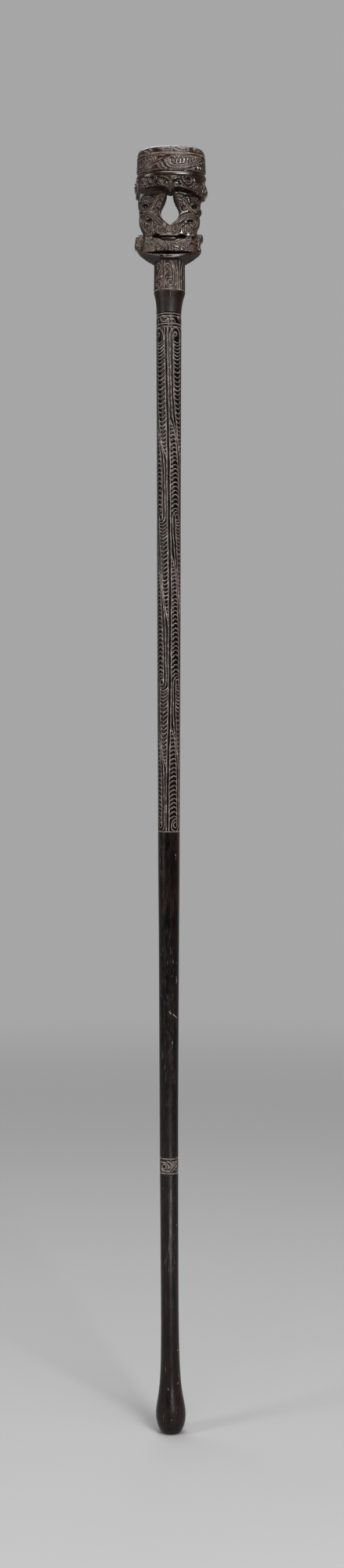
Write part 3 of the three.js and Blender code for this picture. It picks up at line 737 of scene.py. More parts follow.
def collarDepth(x, z):
    # half depth at x on the ellipse: deep times the root of 1 - (x / wide) squared
    return collarDeep(z) * np.sqrt(np.maximum(1 - ((x - collarMiddle(z)) / collarWide(z)) ** 2, 0.01))


onCollar, wrapOnCollar = roundPart(collarMiddle, collarWide, collarDeep, collarDepth)
collarPaths = bothSides(wrapOnCollar(collar["lines"], collar["sheet"])) + ringsAt([collar["ring"]])
engravedTube("neck_and_collar", np.linspace(collar["foot"], collar["top"], 160), collarPaths, onCollar,
             collar["sides"], scrapedEbonyNeck, collar["cut"])
makeInlay("lime_inlay_collar", collarPaths, onCollar, collarLime, collar["inlay"],
          replaces=["lime_ring_collar"])
collarRuns = wrapOnCollar(collar["runs"], collar["sheet"])
makeInlay("lime_runs_neck", collarRuns, onCollar, collarLime, collar["runInlay"], ribbonStep["fine"])
print("collar made")

# Drum

drum = {
    "sides": 360,
    "axis": 1.7,
    "halfWidth": 25.7,
    "depthShare": 0.61,
    # inset from the half width at each height: moulding, wall, rounded edge
    "profile": listed("""
    920.4,1.5 920.7,0.9 921.2,0.35 922,0.02 922.9,-0.05 923.7,0.1 924.4,0.45 924.9,1 925.3,1.35 925.7,1
    926.1,0.5 926.8,0.25 930,0.3 934,0.45 938,0.6 940,0.95 941.5,1.4 942.6,2 943.5,2.9 944.1,4.2 944.4,5.6"""),
    # heights of the rings of points: from, to and how many
    "heights": [(920.4, 927, 34), (927.25, 938, 44), (938.25, 944.38, 32)],
    "drawnBelow": 943.7,
    "rings": [926.3, 938.6],
    "rim": 944.4,
    "crown": 0.5,
    "cut": (0.6, 0.45, 0.07),
    "inlay": (0.66, 0.9, 0.46),
    "sheet": {"left": 168, "top": 180, "scale": 15.37},
    "lines": drawn("""
    # the large lens with its eye and crescents
    arc 800 385 42 44; 700,330 760,296 850,286 1000,282 1150,286 1260,300 1380,326;
    1380,326 1290,366 1180,412 1050,448 920,462 810,452 740,414 722,368 760,326;
    672,362 690,430 752,482 850,504 1000,502 1150,470 1290,412 1400,352; 870,320 916,360 908,420;
    950,316 996,356 986,414; 1030,312 1074,350 1062,406; 1102,306 1140,342 1128,390;
    1166,300 1198,332 1186,370; 1226,300 1252,326 1242,352; 1282,304 1300,324 1292,342;
    # scallops left of it and the lines under it
    590,424 616,480 668,520; 512,426 534,490 580,540; 640,500 760,546 900,562 1080,556 1230,520;
    430,560 560,530 700,556;
    # the left lens
    128,372 190,340 280,314 400,296 520,280; 150,520 230,486 330,444 420,404 492,376 600,326;
    150,392 178,440 164,492; 222,372 248,416 232,466; 290,352 314,392 300,436; 352,334 374,370 362,408;
    408,316 430,346 424,378; 460,302 480,324 476,350; 150,580 260,536 380,484 480,436 560,394;
    # upper register, on the rounded edge
    350,246 480,232 640,222 860,232 1100,236 1260,256 1400,300; 390,262 520,252 640,262;
    352,142 372,176 400,188; 250,196 300,196 322,236 316,272; 1216,138 1220,176 1262,208 1340,216;
    1240,142 1290,176 1360,206; 862,132 930,112 1030,112 1100,124; 862,132 930,160 1030,176 1090,172;
    770,108 806,184; 806,100 770,170; 640,168 700,156 760,176; 480,110 560,100 640,96;
    # lower right leaf
    1180,486 1290,450 1400,430 1462,432; 1316,462 1342,512 1352,566; 1374,452 1398,510 1406,590;
    1424,446 1440,520 1444,600; 1270,470 1292,510 1300,548;
    """),
}


def drumMiddle(z):
    return lean(z) + drum["axis"]


def drumWide(z):
    # half width less the profile's inset; the half depth is taken in the same way
    return drum["halfWidth"] - smoothThrough(drum["profile"], z)


def drumDeep(z):
    return drum["halfWidth"] * drum["depthShare"] - smoothThrough(drum["profile"], z)


def drumDepth(x, z):
    # as on the collar
    share = (x - lean(z) - drum["axis"]) / drumWide(z)
    return drumDeep(z) * np.sqrt(np.maximum(1 - share ** 2, 0.005))


def drumCrown(rim):
    # domed top: rings that shrink to the middle, z = rim + crown (1 - share^2)^0.8
    shares = np.linspace(0.97, 0.02, 30)[:, None]
    middle = np.array([drumMiddle(drum["rim"]), 0, drum["rim"]])
    rings = middle + (rim - middle) * shares[..., None]
    rings[:, :, 2] = drum["rim"] + drum["crown"] * (1 - shares ** 2) ** 0.8
    return rings


onDrum, wrapOnDrum = roundPart(drumMiddle, drumWide, drumDeep, drumDepth)
drumStrokes = wrapOnDrum(drum["lines"], drum["sheet"], drum["drawnBelow"])
drumPaths = bothSides(drumStrokes) + ringsAt(drum["rings"])
drumHeights = np.concatenate([np.linspace(*part) for part in drum["heights"]])
engravedTube("drum", drumHeights, drumPaths, onDrum, drum["sides"], handledEbonyFinial, drum["cut"],
             crown=drumCrown)
makeInlay("lime_inlay_drum", drumPaths, onDrum, wornLime, drum["inlay"],
          replaces=["lime_ring_drum_foot", "lime_ring_drum_crown"])
print("drum made")

# Finial: the forms from the boat to the brow are carved right through, so each is a solid
# field, |y| - depth(x, z) inside its outline, skinned where the field is zero

def shoulder(inside, size):
    # how far a rounded edge of this size lowers a face, this far in from its outline
    return np.maximum(size - inside, 0) ** 2 / (4 * size)


def softMax(a, b, size):
    # the larger of two fields, with a rounded edge between them
    return np.maximum(a, b) + shoulder(np.abs(a - b), size)


def domed(depth, drop, inside):
    # a face that falls away by drop at its outline, within about 0.9 mm
    return depth - drop * np.exp(-np.maximum(inside, 0) / 0.9)


def through(flat):
    # a field over x and z, the same all the way through
    return flat[:, None, :]


def flatDepth(x, z):
    # the plane y = 0, for outlines that are cut right through
    return 0 * x


def ovalDepth(form, x, z):
    # half depth at this height, less towards the sides as on an ellipse
    share = (x - lean(z) - form["axis"]) / form["reach"]
    return smoothThrough(form["halfDepth"], z) * np.sqrt(np.maximum(1 - share ** 2, form["thinnest"]))


def insideBy(corners, x, z):
    # distance in from a closed outline, less than zero outside it: to the nearest edge, inside
    # where a level line to the right crosses an odd number of edges
    nearest = np.full(x.shape, 1e9)
    crossings = np.zeros(x.shape, int)
    for (ax, az), (bx, bz) in zip(corners, np.roll(corners, -1, 0)):
        dx, dz = bx - ax, bz - az
        t = np.clip(((x - ax) * dx + (z - az) * dz) / (dx * dx + dz * dz + 1e-12), 0, 1)
        nearest = np.minimum(nearest, (x - ax - t * dx) ** 2 + (z - az - t * dz) ** 2)
        spans = (az > z) != (bz > z)
        crossings += spans & (x < ax + (z - az) * dx / (dz + 1e-12))
    return np.where(crossings % 2 == 1, 1, -1) * np.sqrt(nearest)


def insideDrawn(form, key, depthAt, x, z):
    # the same for a smooth outline drawn on the form's sheet
    return insideBy(sighted(stroke(form[key], True, 6), form["sheet"], depthAt), x, z)


def skinOf(field, low, step):
    # surface nets: one corner in each cell that the surface passes through, at the mean of
    # its crossings of the cell's edges, and one face across each crossed edge
    cells = np.array(field.shape) - 1
    total = int(np.prod(cells))
    sums = np.zeros((3, total))
    hits = np.zeros(total)
    faces = []
    for axis in range(3):
        a = np.moveaxis(field, axis, 0)[:-1]
        b = np.moveaxis(field, axis, 0)[1:]
        crossed = np.nonzero((a < 0) != (b < 0))
        av, bv = a[crossed], b[crossed]
        order = [axis] + [other for other in range(3) if other != axis]
        spot = np.zeros((len(av), 3), int)
        for column, other in enumerate(order):
            spot[:, other] = crossed[column]
        place = spot.astype(float)
        place[:, axis] += av / (av - bv)
        second, third = (axis + 1) % 3, (axis + 2) % 3
        corners = []
        for down, back in ((1, 1), (0, 1), (0, 0), (1, 0)):
            cell = spot.copy()
            cell[:, second] -= down
            cell[:, third] -= back
            index = (cell[:, 0] * cells[1] + cell[:, 1]) * cells[2] + cell[:, 2]
            corners.append(index)
            hits += np.bincount(index, minlength=total)
            for part in range(3):
                sums[part] += np.bincount(index, place[:, part], minlength=total)
        quad = np.stack(corners, 1)
        faces.append(np.where((av < 0)[:, None], quad, quad[:, ::-1]))
    used = np.nonzero(hits)[0]
    number = np.zeros(total, int)
    number[used] = np.arange(len(used))
    points = (sums[:, used] / hits[used]).T * step + np.array(low)
    return points, number[np.vstack(faces)]


def sampled(form, grid):
    # a function that reads a form's grid over x and z between its points
    def read(x, z):
        i = np.clip((x - form["across"][0]) / form["step"], 0, grid.shape[0] - 1.001)
        j = np.clip((z - form["foot"] + 1) / form["step"], 0, grid.shape[1] - 1.001)
        i0, j0 = i.astype(int), j.astype(int)
        fi, fj = i - i0, j - j0
        return ((grid[i0, j0] * (1 - fi) + grid[i0 + 1, j0] * fi) * (1 - fj)
                + (grid[i0, j0 + 1] * (1 - fi) + grid[i0 + 1, j0 + 1] * fi) * fj)
    return read


def carvingGrid(form):
    # where a form's field is worked out: x and z of its columns, and y along each of them
    (left, right), deep, step = form["across"], form["deep"], form["step"]
    x, z = np.meshgrid(np.arange(left, right, step), np.arange(form["foot"] - 1, form["top"] + 1, step),
                       indexing="ij")
    return x, np.arange(-deep, deep + 0.01, step)[None, :, None], z


def planeGap(form, paths):
    # distance on the face from each column to the nearest line
    x, _, z = carvingGrid(form)
    step = x[1, 0] - x[0, 0]
    dense = np.vstack([evenly(path, 0.15, 2) for path in paths])
    row, column = ((dense - (x[0, 0], z[0, 0])) / step).T
    return distanceTo(dense, np.stack([x, z], -1), row, column, int(2.4 / step), False)


def dug(form, key, depthAt, x, z):
    # pits are (x, y, half width, half height, depth) on the form's sheet: depth exp(-r^4)
    total = np.zeros(x.shape)
    unit = view["unit"] / form["sheet"]["scale"]
    for u, v, halfWidth, halfHeight, depth in form[key]:
        (cx, cz), = sighted(np.array([[u, v]]), form["sheet"], depthAt)
        r2 = ((x - cx) / (halfWidth * unit)) ** 2 + ((z - cz) / (halfHeight * unit)) ** 2
        total += depth * np.exp(-r2 ** 2)
    return total


def faceSurface(depthAt, side):
    # a face of the finial: y = side * depth(x, z), raised along its own outward direction
    def place(x, z, rise):
        e = 0.2
        slopeX = (depthAt(x + e, z) - depthAt(x - e, z)) / (2 * e)
        slopeZ = (depthAt(x, z + e) - depthAt(x, z - e)) / (2 * e)
        out = np.stack([-slopeX, np.full(x.shape, side * 1.0), -slopeZ], -1)
        out /= np.linalg.norm(out, axis=-1)[..., None]
        return np.stack([x, side * depthAt(x, z), z], -1) + rise * out
    return place


def clipped(paths, keep):
    # the parts of the paths where keep(x, z) holds
    parts = []
    for path in paths:
        path = evenly(path, 0.2, 2)
        good = keep(path[:, 0], path[:, 1])
        edges = np.nonzero(np.diff(np.concatenate([[0], good.astype(int), [0]])))[0].reshape(-1, 2)
        parts += [path[a:b] for a, b in edges if b - a > 4]
    return parts


def slopeOf(form, depth):
    # how much longer the face is than its step in x: the root of 1 + slope squared
    return np.sqrt(1 + np.gradient(depth, form["step"], axis=0) ** 2)


def linesOn(form, key, depthAt):
    # a drawing of the form carried to its face, as (x, z)
    return [sighted(line, form["sheet"], depthAt) for line in form[key]]


def carvedPiece(name, form, field, gap, fromEdge):
    # fromEdge is how far in from the cut-out's edge each place of the face is
    x, y, z = carvingGrid(form)
    field = np.maximum(field, through(np.maximum(z - form["top"], form["foot"] - z)))
    points, quads = skinOf(field, (x[0, 0], y[0, 0, 0], z[0, 0]), x[1, 0] - x[0, 0])
    nearest, edge = (sampled(form, flat)(points[:, 0], points[:, 2]) for flat in (gap, fromEdge))
    makePiece(name, points, quads, handledEbonyFinial, near=stainNear(nearest),
              scraped=np.clip(1 - edge / 1.1, 0, 1), replaces=["ebony_stick"])


def inlayBothFaces(form, layers, rings=()):
    # each layer is a name, its paths, the depth of the wood and the ribbon's section
    for side, face in ((-1, "front"), (1, "back")):
        for name, paths, depth, section in layers:
            surface = faceSurface(sampled(form, depth), side)
            nodes = [f"lime_{ring}_{face}_{hand}" for ring in rings for hand in ("left", "right")]
            makeInlay(f"lime_inlay_{name}_{face}", paths, surface, wornLime, section,
                      ribbonStep["finial"], nodes)


# Openwork scrolls

openwork = {
    "step": 0.315,
    "across": (-27.5, 26),
    "deep": 12.5,
    "axis": 0.3,
    "reach": 25.2,
    "thinnest": 0.02,
    "halfDepth": [(876, 10.7), (880, 10.6), (910, 10.0), (918, 9.9)],
    "foot": 878.6,
    "top": 913.6,
    "round": 1.3,
    "cut": (0.8, 0.5, 0.6),
    "inlay": (0.7, 1.5, 0.98),
    "sheet": {"left": 168, "top": 222, "scale": 15.37},
    "leftSide": listed("""
    150,330 135,430 131,520 126,600 130,660 146,705 152,735 148,775 156,815 150,870 146,930 152,1000
    178,1070 212,1137 248,1199 262,1300"""),
    "rightSide": listed("""
    1262,1300 1276,1199 1284,1140 1298,1080 1330,1020 1341,950 1334,890 1326,838 1356,806 1374,768 1360,726
    1346,690 1352,630 1358,570 1384,500 1390,330"""),
    # the window: half width at each height
    "window": listed("""
    886.8,0 887.6,0.9 888.6,2.3 890.6,4.7 892.5,6 894.6,6.7 897,7 900,6.6 903,5.7 906,4 909,2.9 912,2.2
    915.4,2.1"""),
    "windowAxis": 0.75,
    "pits": listed("""
    265,622,50,27,3 1225,646,48,28,3 340,908,52,27,3 1150,925,52,28,3 486,1214,62,34,3.4 985,1222,74,34,3.4
    425,418,62,26,1.8 1095,442,66,28,1.8 470,705,80,26,0.7 1005,660,46,46,0.7 446,985,30,66,1.1
    1010,985,30,52,0.8 712,1010,26,60,0.6 200,770,60,14,0.6 1290,790,44,16,0.7 535,575,17,17,0.7
    945,575,17,17,0.7 315,1071,20,20,0.6 1130,1081,20,20,0.6"""),
    "bosses": [(740, 1236, 190, 52, 0.9)],
    "lines": drawn("""
    # upper left scroll
    arc 535 575 41; 235,570 212,600 215,645 250,682 305,687 350,655 395,595 430,535 465,485 510,438 570,408
    640,404 688,440; 172,560 158,630 178,690 225,722 290,725 350,700 400,650 435,595 470,530 520,478 585,460
    635,490 655,550 640,615 600,665 548,696; 690,440 700,520 682,610 645,680 596,736;
    250,470 276,505 272,552; 296,455 326,492 324,552; 346,448 376,484 370,540; 392,446 410,474 404,506;
    190,520 230,470 300,430 370,432; 445,628 470,664 520,690; 414,672 450,716 505,744;
    384,706 430,752 494,786;
    # upper right scroll
    arc 945 575 41; 832,440 834,540 856,620 892,690 934,752;
    850,444 920,410 990,420 1040,460 1080,520 1112,590 1150,655 1200,708 1262,748 1330,764;
    950,742 912,690 884,630 868,560 882,492 930,464 985,482 1030,532 1066,592 1108,654 1160,716 1216,764;
    1150,592 1156,650 1190,694 1250,710 1308,690 1342,640 1338,580 1308,536;
    1176,650 1206,680 1262,682 1298,640 1292,596; 1000,548 1050,584 1074,634 1068,694;
    986,608 1020,644 1030,704; 1164,484 1212,466 1256,486; 1158,524 1212,500 1266,522 1290,560;
    1186,558 1222,546 1262,564;
    # lower left arcs and spirals
    172,1030 152,940 160,845 200,768 270,724 350,722 420,757 490,822 560,890 622,950 690,1010;
    212,1010 190,935 196,852 236,788 300,755 370,767 430,817 500,890 560,948 606,990;
    252,1000 230,935 236,872 272,818 326,797 380,822 430,877 478,938 510,985;
    270,900 318,862 372,880 406,930 396,975 348,962 298,935 270,900; arc 315 1071 45;
    360,1000 398,1040 404,1092 376,1142 330,1170; 416,1000 446,1060 440,1130; 180,1050 212,1098 240,1160;
    506,985 488,1050 512,1118 588,1146 662,1116 692,1045 674,968 640,934;
    556,990 540,1042 560,1092 602,1106 638,1070 640,1010 616,966; 592,1004 586,1042 596,1078;
    266,1178 300,1140 360,1180;
    # lower right arcs and spirals
    760,1016 840,948 900,888 960,838 1050,790 1150,768 1240,788 1306,848 1332,930 1322,1010 1286,1066;
    868,960 936,896 1004,852 1080,822 1160,808 1230,830 1276,895 1280,970 1240,1040;
    980,960 1030,906 1090,868 1160,852 1216,880 1236,940 1204,986 1140,992; arc 1130 1081 45;
    1060,986 1022,1050 1026,1122 1066,1166; 1108,980 1060,1020; 1186,1120 1250,1094 1306,1060;
    1180,1160 1240,1142 1280,1122; 800,962 766,1020 762,1090 800,1146 870,1152 930,1106 956,1040 942,976;
    836,996 800,1042 816,1092 866,1104 906,1062 906,1010 880,980; 862,1012 850,1052;
    704,1000 712,1060 716,1130; 738,1000 738,1060 744,1130;
    """),
}


openworkBase = partial(ovalDepth, openwork)


def windowOutline(wider=0.0):
    # middle + half width up the right side, middle - half width down the left
    heights, halves = np.array(openwork["window"]).T
    middle = lean(heights) + openwork["windowAxis"]
    halves = halves + wider
    right, left = (np.column_stack([middle + side * halves, heights]) for side in (1, -1))
    return np.vstack([right, left[::-1]])


def makeOpenwork():
    form = openwork
    x, y, z = carvingGrid(form)
    paths = linesOn(form, "lines", openworkBase)
    sides = np.vstack([stroke(form[side], False, 6) for side in ("leftSide", "rightSide")])
    outline = sighted(sides, form["sheet"], flatDepth)
    rim = np.minimum(insideBy(outline, x, z), -insideBy(windowOutline(), x, z))
    gap = planeGap(form, paths)
    pits, bosses = (dug(form, key, openworkBase, x, z) for key in ("pits", "bosses"))
    depth = openworkBase(x, z) - pits + bosses
    slope = slopeOf(form, depth)
    body = (np.abs(y) - through(depth + grooved(gap, *form["cut"]))) / through(slope)
    carvedPiece("openwork_scrolls", form, softMax(body, -through(rim), form["round"]), gap, rim)
    face = depth - shoulder(rim, form["round"]) * slope
    within = sampled(form, rim)
    kept = clipped(paths, lambda px, pz: (
        (within(px, pz) > 0.45) & (pz > form["foot"] + 0.3) & (pz < form["top"])))
    inlayBothFaces(form, [("scrolls", kept, face, form["inlay"])],
                   ("eye_upper", "spiral_inner", "spiral_outer"))


makeOpenwork()
print("openwork made")

# Boat, panel and ears

panel = {
    "step": 0.285,
    "across": (-28.5, 27.5),
    "deep": 14.5,
    "axis": 0.0,
    "reach": 23.4,
    "thinnest": 0.02,
    "halfDepth": [(860, 13.1), (866.2, 12.8), (880, 11.2), (884, 10.8)],
    "foot": 859.2,
    "top": 881.4,
    "cut": (0.6, 0.45, 0.3),
    "inlay": (0.64, 1.0, 0.6),
    "sheet": {"left": 168, "top": 280, "scale": 15.37},
    "plate": listed("""
    246,318 390,326 436,360 540,368 610,402 720,414 830,402 905,374 1040,368 1084,334 1180,318 1298,662
    192,662"""),
    "lens": listed("556,346 630,314 760,296 870,322 912,352 830,392 720,404 620,386"),
    "leftEar": listed("262,330 190,320 130,334 88,375 74,430 66,490 56,540 66,590 100,612 126,652 230,660"),
    "rightEar": listed("""
    1160,330 1215,306 1270,314 1335,306 1384,332 1402,385 1396,440 1362,480 1352,560 1362,650 1270,660"""),
    "lensBelow": 1.5,
    "lensRound": 2.4,
    "plateRound": 0.9,
    "earRound": 1.6,
    "earDepth": 5.6,
    "earDrop": 1.6,
    "pits": listed("""
    492,452,18,18,0.7 1030,472,18,18,0.6 155,418,16,16,0.8 1285,380,18,18,0.9 206,520,20,120,0.9
    1268,480,16,110,0.9"""),
    "lines": drawn("""
    252,330 230,480 204,630; 208,634 420,640 650,646 900,648 1100,642 1280,630; 1172,330 1226,480 1284,628;
    290,330 300,370 292,410; 330,326 350,372 338,430; 372,340 392,356 380,380; arc 494 452 44;
    arc 494 452 80 78 120 360; 520,500 544,540 536,600; 448,500 430,540 450,580 480,560;
    570,408 600,450 592,510 560,560; 626,430 654,480 640,540 600,580; 704,440 672,490 690,560;
    764,430 732,490 752,560; 820,430 792,480 806,530; 770,420 850,440 930,420 1010,396 1100,374;
    830,480 880,490 930,470; 780,590 850,560 930,580; 790,620 870,602 940,612; arc 1030 472 42;
    948,540 944,470 980,420 1036,402 1086,430 1096,490 1066,540; 950,600 944,560 960,530;
    1010,560 1050,590 1090,570; 1100,400 1140,380 1150,340; 1110,440 1160,420 1190,440;
    270,470 340,492 420,520; 262,512 340,526 420,548; 254,548 340,556 420,574; 248,582 340,584 430,598;
    240,610 340,610 440,618; 1110,520 1180,500 1222,486; 1110,552 1180,536 1234,522;
    1110,582 1180,570 1246,556; 1110,608 1180,602 1256,592;
    # left ear
    arc 155 418 40 42; 120,342 170,334 210,372 222,430 200,490 150,512 100,490 86,440;
    80,500 62,540 86,580 112,552 100,520; 140,560 160,600 190,622; 180,540 196,580;
    # right ear
    arc 1285 380 36 38; 1222,350 1226,410 1262,452 1310,446; 1336,330 1372,360 1384,410 1370,452 1340,440;
    1330,396 1300,450 1290,520 1310,584 1340,560 1348,500; 1250,480 1270,560 1300,620;
    """),
}

# The hull's rim dips in the middle and rises to the tips; its deck follows it
boat = {
    "axis": 0.5,
    "tip": 22.5,
    "rim": 861.9,
    "rise": 6.4,
    "deep": 12.7,
    "drawnIn": 2.3,  # mm of depth for each mm below the rim
    "lip": 0.3,
    "deck": 865.0,
    "deckRise": 4.5,
    "inlay": (0.6, 0.9, 0.42),
    "ticksWithin": 21.5,
    "cutShare": 0.8,  # of the panel's cut
    "rimRound": 1.5,
    # half width at each height
    "width": listed("""
    858.6,10.4 859.6,11.6 860.6,13.2 861.5,14.9 862.6,16.7 863.8,18.4 865,19.9 866,21.2 867,22.2 868,22.8
    869.4,23.2 870.4,23.3"""),
    "ticks": drawn("430,684 436,716; 516,676 520,722; 660,690 664,734"),
    "sheet": panel["sheet"],
    # the core that joins the hull to the panel
    "coreDeep": 7.8,
    "coreReach": 22.8,
    "coreHalf": 16,
    "coreTop": 867.3,
}


panelBase = partial(ovalDepth, panel)


def lensShape(across, wide):
    # share of the full depth at each place across a lens in plan
    return np.maximum(1 - (across / wide) ** 2.2, 0) ** 0.62


def boatDepth(x, z):
    # lens in plan, full down to the rim's dip, then drawn in to the collar below it
    across = np.abs(x - lean(z) - boat["axis"])
    rim = boat["rim"] + boat["rise"] * np.minimum(across / boat["tip"], 1.1) ** 1.6
    deep = boat["deep"] - boat["drawnIn"] * np.clip(rim - z, 0, 2.6)
    deep = deep + boat["lip"] * np.exp(-((z - rim - 0.3) / 0.5) ** 2)
    wide = smoothThrough(boat["width"], np.clip(z, 858.7, 870.3))
    return deep * lensShape(across, wide) - np.maximum(across - wide, 0)


def makePanel():
    form = panel
    x, y, z = carvingGrid(form)
    paths = linesOn(form, "lines", panelBase)
    ticks = linesOn(boat, "ticks", boatDepth)
    gap = planeGap(form, paths + ticks)
    cutLines = grooved(gap, *form["cut"])
    pits = dug(form, "pits", panelBase, x, z)
    plate = insideBy(sighted(np.array(form["plate"]), form["sheet"], panelBase), x, z)
    lens = insideDrawn(form, "lens", panelBase, x, z)
    ear = np.maximum(*[insideDrawn(form, each, flatDepth, x, z) for each in ("leftEar", "rightEar")])
    depth = panelBase(x, z) - pits
    earDepth = domed(form["earDepth"], form["earDrop"], ear) - pits
    y = np.abs(y)
    slab = (y - through(depth + cutLines)) / through(slopeOf(form, depth))
    slab = softMax(slab, -through(plate), form["plateRound"])
    lobe = softMax(y - through(earDepth + cutLines), -through(ear), form["earRound"])
    member = softMax(y - through(panelBase(x, z) - form["lensBelow"]), -through(lens), form["lensRound"])
    across = np.abs(x - lean(z) - boat["axis"])
    deck = boat["deck"] + boat["deckRise"] * np.minimum(across / 23, 1) ** 2
    hullDepth = boatDepth(x, z)
    hull = softMax(y - through(hullDepth + cutLines * boat["cutShare"]), through(z - deck), boat["rimRound"])
    core = np.maximum(across - boat["coreHalf"], np.maximum(deck - 1.5 - z, z - boat["coreTop"]))
    core = np.maximum(y - through(boat["coreDeep"] * lensShape(across, boat["coreReach"])), through(core))
    field = np.minimum.reduce([slab, lobe, member, hull, core])
    carvedPiece("panel_boat_and_ears", form, field, gap, np.full(x.shape, 9.0))
    # the wood's face under the ribbons, with its rounded edges
    onEar = ear > np.maximum(plate, 0)
    face = np.where(onEar, earDepth - shoulder(ear, form["earRound"]),
                    depth - shoulder(plate, form["plateRound"]))
    within = sampled(form, np.where(onEar, ear, plate))
    kept = clipped(paths, lambda px, pz: (within(px, pz) > 0.3) & (pz < form["top"] - 0.6))
    ticks = clipped(ticks, lambda px, pz: np.abs(px - lean(pz)) < boat["ticksWithin"])
    inlayBothFaces(form, [("panel", kept, face, form["inlay"]), ("boat", ticks, hullDepth, boat["inlay"])])


makePanel()
print("panel made")

# Brow with its lugs and keel

brow = {
    "step": 0.3,
    "across": (-28.8, 28.5),
    "deep": 18.0,
    "axis": 1.2,
    "reach": 25.6,
    "thinnest": 0.004,
    "halfDepth": [(905, 15.5), (912, 15.6), (917, 15.5), (921.6, 15.3)],
    "foot": 905.4,
    "top": 921.2,
    "cut": (0.6, 0.42, 0.35),
    "lugCut": (0.6, 0.5, 0.3),
    "lugDepth": 6.4,
    "lugDrop": 1.4,
    "lugRound": 1.6,
    "inlay": (0.5, 1.1, 0.68),
    "ridge": (0.75, 0.75),  # height and half width of a ridge
    "ridgeCut": (0.45, 1.35, 0.4),  # depth, place and half width of the cut beside it
    "cove": 1.7,
    "edgeRound": 0.6,
    "keelFace": 12.6,  # the window's cut stops here, behind the keel
    "windowPlay": 0.4,
    "sheet": {"left": 165, "top": 215, "scale": 14.25},
    "lip": listed("""
    90,400 190,372 290,356 390,340 480,326 560,318 640,330 690,352 726,392 742,440 752,440 768,392 800,352
    850,336 940,344 1020,366 1120,404 1220,456 1300,510 1380,560"""),
    "eave": listed("""
    100,560 300,480 430,470 520,452 620,446 690,462 742,480 800,462 860,446 960,446 1060,480 1150,510
    1300,560 1420,580"""),
    "leftLug": listed("""
    280,170 190,210 140,240 118,300 98,320 116,346 92,376 112,402 96,430 128,452 150,500 176,530 230,500
    290,400"""),
    "rightLug": listed("""
    1120,240 1250,214 1350,240 1372,300 1400,372 1420,440 1424,478 1390,524 1340,556 1290,540 1200,460
    1110,360"""),
    "pits": listed("""
    425,185,30,40,1.3 1072,200,36,34,1.5 860,262,80,56,1.2 664,262,54,46,1 600,180,40,30,0.4
    1268,326,14,15,0.9 1180,180,90,18,0.6 250,180,80,14,0.5"""),
    # raised ridges: the two hooks, the keel and the edge over the eaves
    "ridges": drawn("""
    462,104 492,150 484,218 436,268 380,258 350,206 366,150; 430,124 446,172 428,206;
    1002,104 978,160 1000,236 1060,286 1122,276 1144,220 1122,172; 1052,128 1034,176 1060,222 1100,226;
    560,146 640,160 706,200 740,262 748,350 748,440; 960,160 880,172 812,204 764,262 750,330;
    300,340 390,318 480,306 560,298 640,308; 820,316 900,318 1000,340 1100,382 1200,436;
    """),
    "lines": drawn("""
    500,108 528,158 520,236 470,292; 324,160 316,220 346,282 400,300; 396,140 390,196 420,232 462,214;
    948,120 940,190 968,260 1030,312 1100,322; 1010,150 1012,196 1046,246 1096,254; 150,252 240,206 330,172;
    228,262 262,292 236,334; 180,250 212,286 190,338; 142,276 166,300 150,336; 282,240 300,290 280,322;
    150,370 190,356 214,392 196,444; 130,400 164,420 168,476; arc 1268 326 34 36;
    1162,280 1204,316 1206,362 1260,388 1316,366; 1196,262 1250,276 1318,290 1350,350 1330,400;
    1160,330 1176,384 1240,420 1280,424; 1300,420 1316,462 1290,500; 1346,400 1366,452 1340,510;
    1380,420 1396,470; 560,170 572,220 556,262; 600,176 614,214 604,240; 860,196 920,206 962,236;
    """),
}


browBase = partial(ovalDepth, brow)


